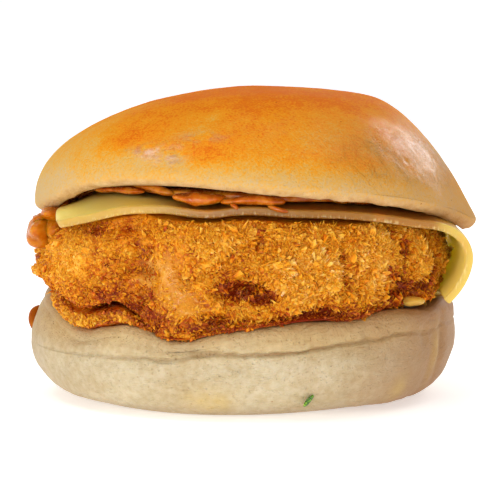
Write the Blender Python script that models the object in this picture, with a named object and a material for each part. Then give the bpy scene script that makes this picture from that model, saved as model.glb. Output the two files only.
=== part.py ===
# A crumbed chicken burger, standing on its own foot.
# From the table up: heel of the bun, lower relish, crumbed cutlet, cheese slice, upper relish, crown.
# The origin is the centre of the heel's flat foot, +Z is up and -Y is the side that is served to the eater.
# Sizes below are in millimetres and angles in degrees, counted anticlockwise from +X as seen from above.

import math

import bmesh
import bpy
import numpy as np

MM = 0.001
GAP = 0.35

# Heel of the bun. Lists of eight are measured every 45 degrees, from +X round by the back to the front right.
HEEL_CENTRE_X = -1.5
HEEL_RADIUS = [52.9, 52.2, 51.2, 52.0, 52.9, 52.2, 51.0, 52.2]
HEEL_FOOT_RADIUS = 34.0
HEEL_WIDEST_Z = 13.6
HEEL_RIM_Z = [23.6, 23.6, 23.4, 24.6, 26.4, 20.4, 21.4, 24.4]
HEEL_RIM_DENTS = [(-143, -1.8, 10), (-108, -1.6, 9), (-30, -1.4, 8), (70, -1.2, 12)]
HEEL_LEAN = [0.7, 1.5, 2.2, 2.8, 3.2, 2.0, 1.0, 0.8]
HEEL_DISH_Z = 18.2
RIM_ROUND = 2.6
CREASE_Z = [19.0, 17.6, 16.0, 15.0, 13.4, 13.8, 16.0, 18.2]
CREASE_DEPTH, CREASE_WIDTH, LIP_ROLL = 1.0, 0.9, 0.7
CREASE_ARCS = [(-80, 0.85, 44), (95, 0.5, 46)]
DROP_PLACE, DROP_RADII = (-53.3, 3.0, 17.8), (2.4, 4.8, 3.4)
HERB_PLACE, HERB_RADII = (13.7, -41.6, 3.6), (1.5, 1.4, 1.4)

# Crown of the bun
CROWN_CENTRE_X = 1.5
CROWN_RADIUS = [54.7, 53.8, 52.8, 53.6, 54.9, 54.0, 53.0, 54.2]
CROWN_RIM_Z = [41.6, 48.0, 50.6, 50.0, 45.6, 53.6, 53.0, 48.2]
CROWN_RIM_DENTS = [(-163, -1.5, 12), (-12, -0.6, 12)]
CROWN_TOP_Z = 76.0
CROWN_UNDER_Z = 53.6
CROWN_LIP_Z, CROWN_LIP_SHARE = 2.4, 0.94

# Crumbed cutlet
CUTLET_CENTRE_X = -1.4
CUTLET_RADIUS = [48.8, 50.0, 47.5, 50.4, 52.6, 51.8, 49.6, 50.6]
CUTLET_SQUARE = [4.6, 5.0, 6.0, 5.0, 4.2, 7.0, 7.0, 6.5]
CUTLET_LOBES = [(-122, -4.0, 5), (-83, 1.6, 12), (-152, 1.2, 9), (-60, 1.5, 7), (-47, -1.8, 4), (-24, 1.0, 6),
                (40, -2.0, 6), (75, 1.6, 10), (118, -2.2, 6), (150, 1.5, 9)]
CUTLET_MIDDLE_Z, CUTLET_BED, CUTLET_LEFT_LIFT, CUTLET_END_LIFT = 34.0, 1.3, 5.4, 1.8
CRAG_DEPTH, CRAG_SIZE, LUMP_DEPTH, LUMP_SIZE = 1.9, 6.0, 2.2, 16.0

# Cheese slice: its section, seen from the front, is a smooth line through these places
CHEESE_THICK, CHEESE_DEEP, CHEESE_ENDS = 2.0, 92.0, 68.0
CHEESE_X = [-46.0, -40.9, -36.9, -32.1, -20.8, -9.2, -2.3, 10.2, 23.2,
            37.7, 45.0, 48.3, 50.4, 51.4, 51.1, 49.9, 48.0, 45.8]
CHEESE_Z = [46.8, 48.2, 48.9, 49.3, 49.6, 48.7, 49.4, 48.8, 48.2,
            45.6, 43.5, 41.8, 39.7, 37.0, 34.0, 31.1, 28.6, 26.9]
CHEESE_FRONT_SAG, CHEESE_BACK_SAG, CHEESE_LEFT_SAG, CHEESE_CORNER_DROOP = 0.8, 5.0, 2.6, 1.7

# Relish, in a thin bed and in soft strips of onion. A strip's heights are above the cheese's upper face.
BED_CENTRE_X, BED_CLEARANCE = -1.2, 1.2
RELISH_RADIUS = [44.5, 43.5, 41.5, 44.0, 45.0, 44.0, 42.6, 46.5]
RELISH_DENTS = [(-138, -6.5, 13)]
ONION_STRIPS = [
    ([(-18.0, -42.0, 0.2), (-12.0, -44.0, 0.3), (-5.6, -43.6, 0.4)], 2.6, 1.4),
    ([(-7.0, -44.0, 0.0), (1.0, -45.2, 0.0), (8.2, -44.4, 0.0)], 2.4, 1.1),
    ([(-36.0, -23.0, 0.1), (-31.0, -26.5, 0.2), (-24.0, -32.0, 0.4)], 2.4, 1.1),
    ([(18.0, -37.0, 0.1), (24.0, -35.5, 0.1), (30.0, -31.0, 0.2)], 2.2, 0.8),
    ([(-39.0, -12.5, 0.3), (-45.0, -14.0, 0.6), (-50.0, -15.5, -2.9)], 3.4, 0.8),
]
LOBE_PLACE, LOBE_RADII = (-51.9, -17.0, 40.8), (3.3, 6.4, 5.6)
KNOB_PLACE, KNOB_RADII = (-51.8, -15.5, 43.8), (2.4, 3.4, 1.7)
LOWER_RELISH_RADIUS = [32.0, 32.0, 33.0, 38.0, 46.0, 49.0, 35.0, 32.0]

# How much sooner than an even curve a slab of filling reaches its full thickness, in from its edge
PLUMP = 1.16

# Sides and rings of the faceted solids
BUN_SIDES, CUTLET_SIDES, CUTLET_RINGS = 60, 90, 25
BED_SIDES, BED_RINGS, CHEESE_ROWS, CHEESE_COLUMNS = 36, 13, 34, 12


def clear_scene():
    for old in list(bpy.data.objects):
        bpy.data.objects.remove(old, do_unlink=True)


def ease(low, high, value):
    """0 below low, 1 above high and a smooth step between them."""
    share = np.clip((value - low) / (high - low), 0, 1)
    return share * share * (3 - 2 * share)


def around(values, angle):
    """The smooth closed curve through values that are evenly spaced round the burger."""
    waves = np.fft.rfft(values) / len(values)
    curve = np.full_like(angle, waves[0].real)
    for k in range(1, len(waves)):
        share = 1 if 2 * k == len(values) else 2
        curve += share * (waves[k].real * np.cos(k * angle) - waves[k].imag * np.sin(k * angle))
    return curve


def swell(angle, places):
    """The sum of soft bumps round the burger, each given by its direction, height and width."""
    total = np.zeros_like(angle)
    for direction, height, width in places:
        away = np.degrees(np.angle(np.exp(1j * (angle - math.radians(direction)))))
        total += height * np.exp(-((away / width) ** 2))
    return total


def lattice(x, y, z, seed):
    """A fixed random value from 0 to 1 for each whole-numbered point of space."""
    mixed = (x * 73856093) ^ (y * 19349663) ^ (z * 83492791) ^ (seed * 2971215073)
    mixed = ((mixed & 0xFFFFFFFF) ^ ((mixed & 0xFFFFFFFF) >> 13)) * 1274126177
    mixed = (mixed & 0xFFFFFFFF) ^ ((mixed & 0xFFFFFFFF) >> 16)
    return (mixed & 0xFFFF) / 65535.0


def soft_noise(points, size, seed):
    """Smooth noise from -1 to 1 whose lumps are about size across."""
    place = points / size
    cell = np.floor(place).astype(np.int64)
    share = place - cell
    share = share * share * (3 - 2 * share)
    total = 0
    for corner in np.ndindex(2, 2, 2):
        weight = np.ones(points.shape[:-1])
        for axis in range(3):
            weight = weight * (share[..., axis] if corner[axis] else 1 - share[..., axis])
        total = total + weight * lattice(*(cell[..., axis] + corner[axis] for axis in range(3)), seed)
    return 2 * total - 1


def crag(points, size, seed):
    """Sharp-edged lumps of about size across: 0 in the valleys between them and 1 on their crowns."""
    place = points / size
    cell = np.floor(place).astype(np.int64)
    nearest = np.full(points.shape[:-1], 9.0)
    for step in np.ndindex(3, 3, 3):
        corner = cell + np.array(step) - 1
        away = 0
        for axis in range(3):
            centre = corner[..., axis] + lattice(*(corner[..., k] for k in range(3)), seed + axis)
            away = away + (centre - place[..., axis]) ** 2
        nearest = np.minimum(nearest, away)
    return np.clip(1 - np.sqrt(nearest), 0, 1)


def outward(rings):
    """Unit normals of a closed stack of rings, pointing out of it."""
    along = np.gradient(rings, axis=0)
    across = np.roll(rings, -1, axis=1) - np.roll(rings, 1, axis=1)
    normal = np.cross(across, along)
    return normal / np.maximum(np.linalg.norm(normal, axis=2, keepdims=True), 1e-9)


def material(name, colour, roughness):
    made = bpy.data.materials.new(name)
    made.use_nodes = True
    shader = made.node_tree.nodes["Principled BSDF"]
    shader.inputs["Base Color"].default_value = (*colour, 1)
    shader.inputs["Roughness"].default_value = roughness
    shader.inputs["Metallic"].default_value = 0
    return made


def mesh_object(name, points, faces, finish):
    """An object from points in millimetres, with its faces turned outwards and shaded smooth."""
    mesh = bpy.data.meshes.new(name)
    mesh.from_pydata((np.asarray(points) * MM).tolist(), [], faces)
    body = bmesh.new()
    body.from_mesh(mesh)
    bmesh.ops.triangulate(body, faces=[face for face in body.faces if len(face.verts) > 3])
    bmesh.ops.recalc_face_normals(body, faces=body.faces)
    body.to_mesh(mesh)
    body.free()
    mesh.shade_smooth()
    mesh.materials.append(finish)
    made = bpy.data.objects.new(name, mesh)
    bpy.context.scene.collection.objects.link(made)
    return made


def shell(name, rings, first_pole, last_pole, finish):
    """A closed solid from a stack of rings, shut at both ends by a point."""
    count, sides = rings.shape[:2]
    points = np.vstack([rings.reshape(-1, 3), [first_pole], [last_pole]])
    first, last = count * sides, count * sides + 1
    faces = []
    for side in range(sides):
        after = (side + 1) % sides
        faces.append((first, after, side))
        faces.append((last, (count - 1) * sides + side, (count - 1) * sides + after))
        for ring in range(count - 1):
            low, high = ring * sides, (ring + 1) * sides
            faces.append((low + side, low + after, high + after, high + side))
    return mesh_object(name, points, faces, finish)


def fuse(base, pieces):
    """One Boolean union of a base and the pieces on it."""
    group = bpy.data.collections.new(base.name + "_pieces")
    bpy.context.scene.collection.children.link(group)
    for piece in pieces:
        bpy.context.scene.collection.objects.unlink(piece)
        group.objects.link(piece)
    union = base.modifiers.new("union", "BOOLEAN")
    union.operation = "UNION"
    union.operand_type = "COLLECTION"
    union.collection = group
    union.solver = "MANIFOLD"
    joined = bpy.data.meshes.new_from_object(base.evaluated_get(bpy.context.evaluated_depsgraph_get()))
    base.modifiers.clear()
    base.data = joined
    for piece in list(group.objects):
        bpy.data.objects.remove(piece, do_unlink=True)
    bpy.data.collections.remove(group)


def heel_rim(angle):
    return around(HEEL_RIM_Z, angle) + swell(angle, HEEL_RIM_DENTS)


def heel_top(x, y):
    """Height of the heel's pressed upper face, which the filling lies in."""
    angle = np.arctan2(y, x - HEEL_CENTRE_X)
    share = np.hypot(x - HEEL_CENTRE_X, y) / (around(HEEL_RADIUS, angle) - 2 * RIM_ROUND)
    rim = heel_rim(angle)
    return HEEL_DISH_Z + (rim - HEEL_DISH_Z) * np.clip(share, 0, 1) ** 4


def heel_rings(sides):
    """Rings up the heel: foot, rounded base, bulging side, crease, rolled lip and the dish inside it."""
    angle = np.linspace(0, 2 * math.pi, sides, endpoint=False)
    radius, rim, lean = around(HEEL_RADIUS, angle), heel_rim(angle), around(HEEL_LEAN, angle)
    crease = around(CREASE_Z, angle)
    creased = np.clip(0.12 + swell(angle, CREASE_ARCS), 0, 1)
    foot = HEEL_FOOT_RADIUS * (1 + 0.05 * np.sin(3 * angle + 1))
    rows = []
    for turn in np.linspace(0, math.pi / 2, 7):
        rows.append((foot + (radius - foot) * np.sin(turn), HEEL_WIDEST_Z * (1 - np.cos(turn)) + 0 * angle))
    for share in (0.1, 0.22, 0.34, 0.46, 0.62, 0.8):
        height = HEEL_WIDEST_Z + (rim - RIM_ROUND - HEEL_WIDEST_Z) * share
        groove = CREASE_DEPTH * np.exp(-(((height - crease) / CREASE_WIDTH) ** 2))
        roll = LIP_ROLL * ease(0, 2.5, height - crease)
        rows.append((radius - lean * share**2 + creased * (roll - groove), height))
    edge = radius - lean + creased * LIP_ROLL
    for turn in np.linspace(0, math.pi / 2, 4):
        rows.append((edge - RIM_ROUND * (1 - np.cos(turn)), rim - RIM_ROUND * (1 - np.sin(turn))))
    for share in (0.86, 0.7, 0.45, 0.2):
        inner = share * (edge - RIM_ROUND)
        x, y = HEEL_CENTRE_X + inner * np.cos(angle), inner * np.sin(angle)
        rows.append((inner, heel_top(x, y)))
    return np.array([np.stack([HEEL_CENTRE_X + r * np.cos(angle), r * np.sin(angle), z], 1) for r, z in rows])


def make_heel():
    rings = heel_rings(BUN_SIDES)
    normal = outward(rings)
    lumps = 0.7 * soft_noise(rings, 24.0, 11) + 0.3 * soft_noise(rings, 9.0, 12)
    raised = ease(1.0, 6.0, rings[..., 2]) * ease(20.0, 17.0, rings[..., 2])
    rings = rings + normal * (0.7 * lumps * raised)[..., None]
    finish = material("pale_bun", (0.74, 0.60, 0.38), 0.55)
    heel = shell("bun_bottom", rings, (0, 0, 0), (HEEL_CENTRE_X, 0, HEEL_DISH_Z), finish)
    drop = blob("sauce_drop", DROP_PLACE, DROP_RADII, finish)
    fleck = blob("herb_fleck", HERB_PLACE, HERB_RADII, finish)
    fuse(heel, [drop, fleck])


def blob(name, centre, radii, finish, sides=8, layers=5):
    """A plain rounded lump, flattened and stretched by its three radii."""
    tilt = np.linspace(0, math.pi, layers + 1)[1:-1]
    turn = np.linspace(0, 2 * math.pi, sides, endpoint=False)
    ring = np.stack([np.outer(np.sin(tilt), np.cos(turn)), np.outer(np.sin(tilt), np.sin(turn)),
                     np.outer(-np.cos(tilt), np.ones(sides))], 2)
    rings = ring * radii + centre
    low, high = np.array(centre) - (0, 0, radii[2]), np.array(centre) + (0, 0, radii[2])
    return shell(name, rings, low, high, finish)


def strip(name, places, wide, thick, finish, sides=7, layers=7):
    """A soft strip of onion: a flattened tube along a smooth line, with blunt tips."""
    share = np.linspace(0, 1, layers)
    line = smooth_line(places, share)
    axis = np.gradient(line, axis=0)
    axis = axis / np.linalg.norm(axis, axis=1, keepdims=True)
    flat = np.cross((0, 0, 1), line[-1] - line[0])
    flat = flat / np.linalg.norm(flat)
    raised = np.cross(axis, flat)
    size = (0.45 + 0.55 * np.sin(math.pi * (0.12 + 0.76 * share)))[:, None, None]
    turn = np.linspace(0, 2 * math.pi, sides, endpoint=False)[None, :, None]
    rings = line[:, None, :] + size * (wide * np.cos(turn) * flat + thick * np.sin(turn) * raised[:, None, :])
    return shell(name, rings, line[0] - 0.5 * thick * axis[0], line[-1] + 0.5 * thick * axis[-1], finish)


def crown_rim(angle):
    return around(CROWN_RIM_Z, angle) + swell(angle, CROWN_RIM_DENTS)


def crown_under(x, y):
    """Height of the crown's cut lower face, which is hollowed inside its drooping rim."""
    angle = np.arctan2(y, x - CROWN_CENTRE_X)
    share = np.hypot(x - CROWN_CENTRE_X, y) / (CROWN_LIP_SHARE * around(CROWN_RADIUS, angle))
    rim = crown_rim(angle)
    return rim + (CROWN_UNDER_Z - rim) * (1 - np.clip(share, 0, 1) ** 8)


def crown_rings(sides):
    """Rings over the crown: cut face, rounded lip, and a dome that is steeper on the left than the right."""
    angle = np.linspace(0, 2 * math.pi, sides, endpoint=False)
    radius, rim = around(CROWN_RADIUS, angle), crown_rim(angle)
    power, root = 2.8 + 0.8 * np.cos(angle), 0.725 + 0.225 * np.cos(angle)
    rows = []
    for share in (0.3, 0.55, 0.75, 0.9):
        inner = share * CROWN_LIP_SHARE * radius
        rows.append((inner, crown_under(CROWN_CENTRE_X + inner * np.cos(angle), inner * np.sin(angle))))
    for turn in np.linspace(0, math.pi / 2, 4):
        share = CROWN_LIP_SHARE + (1 - CROWN_LIP_SHARE) * np.sin(turn)
        rows.append((share * radius, rim + CROWN_LIP_Z * (1 - np.cos(turn))))
    base = rim + CROWN_LIP_Z
    for share in (0.985, 0.95, 0.9, 0.84, 0.76, 0.67, 0.56, 0.44, 0.3, 0.15):
        rows.append((share * radius, base + (CROWN_TOP_Z - base) * (1 - share**power) ** root))
    return np.array([np.stack([CROWN_CENTRE_X + r * np.cos(angle), r * np.sin(angle), z], 1) for r, z in rows])


def make_crown():
    rings = crown_rings(BUN_SIDES)
    dome = ease(0.5, 6.0, rings[..., 2] - crown_rim(np.arctan2(rings[..., 1], rings[..., 0] - CROWN_CENTRE_X)))
    dome[:4] = 0
    lumps = 0.75 * soft_noise(rings, 30.0, 21) + 0.25 * soft_noise(rings, 12.0, 22)
    rings = rings + outward(rings) * (0.8 * lumps * dome)[..., None]
    low, high = (CROWN_CENTRE_X, 0, CROWN_UNDER_Z), (CROWN_CENTRE_X, 0, CROWN_TOP_Z)
    shell("bun_top", rings, low, high, material("golden_bun", (0.78, 0.36, 0.06), 0.35))


def pancake(sides, rings, centre_x, outline, squareness, middle, top, bottom):
    """Rings of a rounded slab between two surfaces: top(x, y) and bottom(x, y), inside a closed outline."""
    angle = np.linspace(0, 2 * math.pi, sides, endpoint=False)[None, :]
    share = np.linspace(0, 1, rings + 2)[1:-1, None]
    tilt = math.pi * (share + 0.35 * np.sin(2 * math.pi * share) / (2 * math.pi))
    power = squareness(angle)
    reach = 1 / (np.abs(np.cos(tilt)) ** power + np.abs(np.sin(tilt)) ** power) ** (1 / power)
    out = outline(angle) * reach * np.sin(tilt)
    lift = -reach * np.cos(tilt)
    x, y = centre_x + out * np.cos(angle), out * np.sin(angle)
    level = middle(x, y)
    rise, drop = top(x, y) - level, level - bottom(x, y)
    z = level + np.where(lift > 0, np.minimum(PLUMP * lift, 1) * rise, np.maximum(PLUMP * lift, -1) * drop)
    return np.stack([x, y, z], 2)


def cutlet_outline(angle):
    return around(CUTLET_RADIUS, angle) + swell(angle, CUTLET_LOBES)


def cutlet_top(x, y):
    """Height of the cutlet's upper face, which follows the cheese that lies on it."""
    return cheese_low(x, y) - GAP


def cutlet_bottom(x, y):
    """Height of its lower face: the left end is propped up on relish."""
    angle = np.arctan2(y, x - HEEL_CENTRE_X)
    share = np.hypot(x - HEEL_CENTRE_X, y) / around(HEEL_RADIUS, angle)
    bed = GAP + CUTLET_BED * ease(0.96, 0.8, share)
    lift = CUTLET_LEFT_LIFT * ease(-20.5, -32.5, x) + CUTLET_END_LIFT * ease(-38, -48, x)
    return heel_top(x, y) + bed + lift + 0.4 * ease(34, 48, x)


def cutlet_rings(sides, rings):
    made = pancake(sides, rings, CUTLET_CENTRE_X, cutlet_outline, lambda angle: around(CUTLET_SQUARE, angle),
                   lambda x, y: CUTLET_MIDDLE_Z + 0 * x, cutlet_top, cutlet_bottom)
    angle = np.arctan2(made[..., 1], made[..., 0] - CUTLET_CENTRE_X)
    undercut = swell(angle, [(-68, 3.4, 12), (100, 4.0, 20)]) * ease(27.5, 22.5, made[..., 2])
    undercut += swell(angle, [(-164, 3.2, 18)]) * ease(32.5, 38, made[..., 2])
    undercut += swell(angle, [(2, 5.2, 19)]) * ease(35, 29.5, made[..., 2])
    inward = np.stack([np.cos(angle), np.sin(angle), 0 * angle], 2)
    return made - inward * undercut[..., None]


def make_cutlet():
    rings = cutlet_rings(CUTLET_SIDES, CUTLET_RINGS)
    normal = outward(rings)
    side = 1 - np.abs(normal[..., 2])
    lumps = LUMP_DEPTH * (soft_noise(rings, LUMP_SIZE, 31) - 0.4 * (1 - side)) * ease(0.1, 0.5, side)
    crags = CRAG_DEPTH * (crag(rings, CRAG_SIZE, 32) - 0.6) * (0.2 + 0.8 * side)
    fine = 0.5 * (soft_noise(rings, 3.5, 33) - 0.6) * (0.3 + 0.7 * side)
    rings = rings + normal * (lumps + crags + fine - 0.4 * (1 - side))[..., None]
    bottom_pole = (CUTLET_CENTRE_X, 0, float(cutlet_bottom(CUTLET_CENTRE_X, 0)) + 0.6)
    top_pole = (CUTLET_CENTRE_X, 0, float(cutlet_top(CUTLET_CENTRE_X, 0)) - 0.9)
    shell("chicken_cutlet", rings, bottom_pole, top_pole, material("fried_crumb", (0.75, 0.30, 0.03), 0.5))


def smooth_line(places, share):
    """The smooth line through places in turn (a Catmull-Rom curve), at shares of its chord length."""
    places = np.array(places, float)
    chord = np.concatenate([[0], np.cumsum(np.linalg.norm(np.diff(places, axis=0), axis=1))])
    slope = np.gradient(places, chord, axis=0)
    at = share * chord[-1]
    span = np.clip(np.searchsorted(chord, at, side="right") - 1, 0, len(places) - 2)
    length = (chord[span + 1] - chord[span])[..., None]
    t = (at - chord[span])[..., None] / length
    here, after = places[span], places[span + 1]
    bend = (2 * t - 1) * (after - here) + (1 - t) * length * slope[span] - t * length * slope[span + 1]
    return here * (1 - t) + after * t + t * (1 - t) * bend


def cheese_section(share):
    """The slice's section at shares of its length: its place and its upward normal, seen from the front."""
    line = smooth_line(np.stack([CHEESE_X, CHEESE_Z], 1), share)
    step = smooth_line(np.stack([CHEESE_X, CHEESE_Z], 1), np.clip(share + 0.004, 0, 1))
    back = smooth_line(np.stack([CHEESE_X, CHEESE_Z], 1), np.clip(share - 0.004, 0, 1))
    heading = (step - back) / np.linalg.norm(step - back, axis=-1, keepdims=True)
    return line[..., 0], line[..., 1], -heading[..., 1], heading[..., 0]


def cheese_half(x):
    """Half the slice's depth, which is rounded off towards its left and right ends."""
    return (CHEESE_DEEP + (CHEESE_ENDS - CHEESE_DEEP) * np.clip(x / 46, -1, 1) ** 2) / 2


def cheese_sag(share, x):
    """How far the slice sinks below its section, at shares from -1 at its front edge to 1 at its back one."""
    flat = 0.3 + 0.7 * ease(46, 38, x)
    edges = CHEESE_FRONT_SAG * ease(-0.74, -1, share) + CHEESE_BACK_SAG * ease(0.6, 1, share)
    corner = CHEESE_CORNER_DROOP * ease(-27, -41, x) * ease(-0.76, -1, share)
    return edges * flat + corner + CHEESE_LEFT_SAG * ease(-36, -46, x) * ease(-0.8, -0.4, share)


def cheese_middle(rows, columns):
    """The slice's middle surface, as a grid of points and its normals."""
    x, z, normal_x, normal_z = cheese_section(np.linspace(0, 1, rows)[:, None])
    share = np.linspace(-1, 1, columns)[None, :]
    sag = cheese_sag(share, x)
    points = np.stack([x - sag * normal_x, share * cheese_half(x), z - sag * normal_z], 2)
    normal = np.cross(np.gradient(points, axis=0), np.gradient(points, axis=1))
    return points, normal / np.linalg.norm(normal, axis=2, keepdims=True)


def cheese_level(x, y, side):
    """Height of the slice's upper (1) or lower (-1) face, left of where it hangs down."""
    section_x, section_z, normal_x, normal_z = cheese_section(np.linspace(0, 0.9, 300))
    reach = side * (CHEESE_THICK / 2 + 0.15)
    rising = np.maximum.accumulate(section_x + reach * normal_x)
    level = np.interp(x, rising, section_z + reach * normal_z)
    return level - cheese_sag(np.clip(y / cheese_half(x), -1, 1), x)


def cheese_top(x, y):
    return cheese_level(x, y, 1)


def cheese_low(x, y):
    return cheese_level(x, y, -1)


def make_cheese():
    middle, normal = cheese_middle(CHEESE_ROWS, CHEESE_COLUMNS)
    points = np.vstack([(middle + normal * CHEESE_THICK / 2).reshape(-1, 3),
                        (middle - normal * CHEESE_THICK / 2).reshape(-1, 3)])
    rows, columns = CHEESE_ROWS, CHEESE_COLUMNS
    under = rows * columns
    faces = []
    for row in range(rows - 1):
        for column in range(columns - 1):
            corner = row * columns + column
            around_it = (corner, corner + columns, corner + columns + 1, corner + 1)
            faces.append(around_it)
            faces.append(tuple(under + index for index in reversed(around_it)))
    border = [column for column in range(columns)]
    border += [row * columns + columns - 1 for row in range(1, rows)]
    border += [(rows - 1) * columns + column for column in reversed(range(columns - 1))]
    border += [row * columns for row in reversed(range(1, rows - 1))]
    for here, after in zip(border, border[1:] + border[:1]):
        faces.append((here, after, under + after, under + here))
    mesh_object("cheese_slice", points, faces, material("mild_cheese", (0.75, 0.55, 0.20), 0.35))


def relish_bed(name, radius, dents, frill, top, bottom, finish):
    """A thin bed of relish between two surfaces, with a softly frilled outline."""
    rings = pancake(BED_SIDES, BED_RINGS, BED_CENTRE_X,
                    lambda angle: around(radius, angle) + swell(angle, dents) + frill * np.sin(7 * angle),
                    lambda angle: 4 + 0 * angle, lambda x, y: (top(x, y) + bottom(x, y)) / 2, top, bottom)
    centre = np.array([BED_CENTRE_X]), np.array([0.0])
    low, high = (BED_CENTRE_X, 0, bottom(*centre)[0]), (BED_CENTRE_X, 0, top(*centre)[0])
    return shell(name, rings, low, high, finish)


def make_upper_relish():
    finish = material("onion_relish", (0.55, 0.14, 0.01), 0.2)
    bed = relish_bed("relish_top", RELISH_RADIUS, RELISH_DENTS, 1.2, lambda x, y: crown_under(x, y) - GAP,
                     lambda x, y: cheese_top(x, y) + BED_CLEARANCE, finish)
    pieces = [blob("hanging_lobe", LOBE_PLACE, LOBE_RADII, finish, 12, 7),
              blob("lobe_knob", KNOB_PLACE, KNOB_RADII, finish)]
    for index, (places, wide, thick) in enumerate(ONION_STRIPS):
        raised = [(x, y, float(cheese_top(x, y)) + GAP + thick + lift) for x, y, lift in places]
        pieces.append(strip(f"onion_{index}", raised, wide, thick, finish))
    fuse(bed, pieces)


def make_lower_relish():
    relish_bed("relish_bottom", LOWER_RELISH_RADIUS, [], 0.8,
               lambda x, y: cutlet_bottom(x, y) - BED_CLEARANCE - 0.6 * ease(-20, -25, x),
               lambda x, y: heel_top(x, y) + GAP, material("under_relish", (0.50, 0.13, 0.01), 0.25))


clear_scene()
make_heel()
make_lower_relish()
make_cutlet()
make_cheese()
make_upper_relish()
make_crown()
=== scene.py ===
# Looks for the crumbed chicken burger: fine skins for the frame's six solids, loose crumb, light, camera.
# Lengths are in millimetres until a mesh is made. Directions are degrees anticlockwise from +X, from above.
# Lists of eight run round the burger every 45 degrees from +X.
import math

import bpy
import numpy as np
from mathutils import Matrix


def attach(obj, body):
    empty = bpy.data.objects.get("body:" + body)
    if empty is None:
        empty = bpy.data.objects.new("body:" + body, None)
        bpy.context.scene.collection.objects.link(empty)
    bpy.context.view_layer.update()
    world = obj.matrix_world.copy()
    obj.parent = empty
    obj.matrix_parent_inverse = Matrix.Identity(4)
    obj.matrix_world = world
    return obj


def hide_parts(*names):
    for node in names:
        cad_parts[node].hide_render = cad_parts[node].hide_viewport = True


mm = 0.001
gap = 0.35  # clearance between neighbouring layers

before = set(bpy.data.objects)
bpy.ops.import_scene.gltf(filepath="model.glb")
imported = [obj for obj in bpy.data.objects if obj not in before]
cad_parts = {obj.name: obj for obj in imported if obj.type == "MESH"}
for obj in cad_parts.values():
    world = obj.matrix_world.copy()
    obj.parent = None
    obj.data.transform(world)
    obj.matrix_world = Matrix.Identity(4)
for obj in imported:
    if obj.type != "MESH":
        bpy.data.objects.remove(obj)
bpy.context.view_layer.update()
print("frame loaded:", sorted(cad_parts))


# ---- shape helpers

def ease(low, high, value):
    # smooth step: 3s^2 - 2s^3 with s running from 0 at low to 1 at high
    share = np.clip((value - low) / (high - low), 0, 1)
    return share * share * (3 - 2 * share)


def around(values, angle):
    # closed Fourier curve through evenly spaced values: a0 + sum of ak cos(k angle) - bk sin(k angle)
    waves = np.fft.rfft(values) / len(values)
    curve = np.full_like(angle, waves[0].real)
    for k in range(1, len(waves)):
        share = 1 if 2 * k == len(values) else 2
        curve += share * (waves[k].real * np.cos(k * angle) - waves[k].imag * np.sin(k * angle))
    return curve


def swell(angle, places):
    # sum of height * exp(-(turn / width)^2) over (direction, height, width) places
    total = np.zeros_like(angle)
    for direction, height, width in places:
        away = np.degrees(np.angle(np.exp(1j * (angle - math.radians(direction)))))
        total += height * np.exp(-((away / width) ** 2))
    return total


def turns(sides):
    # evenly spaced directions all round, in radians
    return np.linspace(0, 2 * math.pi, sides, endpoint=False)


def bearing(points, centreX=0):
    # direction in radians of points round the upright line through (centreX, 0)
    return np.arctan2(points[..., 1], points[..., 0] - centreX)


def spots(points, centreX, places):
    # sum of amount * exp(-(arc / wide)^2 - (rise / tall)^2) over (direction, z, amount, wide, tall) places
    angle = bearing(points, centreX)
    reach = np.hypot(points[..., 0] - centreX, points[..., 1])
    total = np.zeros_like(angle)
    for direction, height, amount, wide, tall in places:
        arc = reach * np.angle(np.exp(1j * (angle - math.radians(direction))))
        total += amount * np.exp(-((arc / wide) ** 2) - ((points[..., 2] - height) / tall) ** 2)
    return total


def lattice(x, y, z, seed):
    # repeatable random value from 0 to 1 for each whole-numbered point
    mixed = (x * 73856093) ^ (y * 19349663) ^ (z * 83492791) ^ (seed * 2971215073)
    mixed = ((mixed & 0xFFFFFFFF) ^ ((mixed & 0xFFFFFFFF) >> 13)) * 1274126177
    mixed = (mixed & 0xFFFFFFFF) ^ ((mixed & 0xFFFFFFFF) >> 16)
    return (mixed & 0xFFFF) / 65535.0


def softNoise(points, size, seed):
    # value noise from -1 to 1: lattice values blended by a smooth step along each axis
    place = points / size
    cell = np.floor(place).astype(np.int64)
    share = place - cell
    share = share * share * (3 - 2 * share)
    total = 0
    for corner in np.ndindex(2, 2, 2):
        weight = np.ones(points.shape[:-1])
        for axis in range(3):
            weight = weight * (share[..., axis] if corner[axis] else 1 - share[..., axis])
        total = total + weight * lattice(*(cell[..., axis] + corner[axis] for axis in range(3)), seed)
    return 2 * total - 1


def roughNoise(points, size, seed, octaves=4):
    # sum of softNoise over halving sizes, each at 0.55 of the strength before it
    strength = [0.55**k for k in range(octaves)]
    return sum(s * softNoise(points, size / 2**k, seed + k) for k, s in enumerate(strength)) / sum(strength)


def crag(points, size, seed):
    # 1 - distance to the nearest random cell centre, cut off at 0
    place = points / size
    cell = np.floor(place).astype(np.int64)
    nearest = np.full(points.shape[:-1], 9.0)
    for step in np.ndindex(3, 3, 3):
        corner = cell + np.array(step) - 1
        away = 0
        for axis in range(3):
            centre = corner[..., axis] + lattice(*(corner[..., k] for k in range(3)), seed + axis)
            away = away + (centre - place[..., axis]) ** 2
        nearest = np.minimum(nearest, away)
    return np.clip(1 - np.sqrt(nearest), 0, 1)


def unit(vectors):
    return vectors / np.maximum(np.linalg.norm(vectors, axis=-1, keepdims=True), 1e-9)


def outward(rings):
    # unit cross product of the step along each ring and the step to the next ring
    return unit(np.cross(np.roll(rings, -1, axis=1) - np.roll(rings, 1, axis=1), np.gradient(rings, axis=0)))


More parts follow.
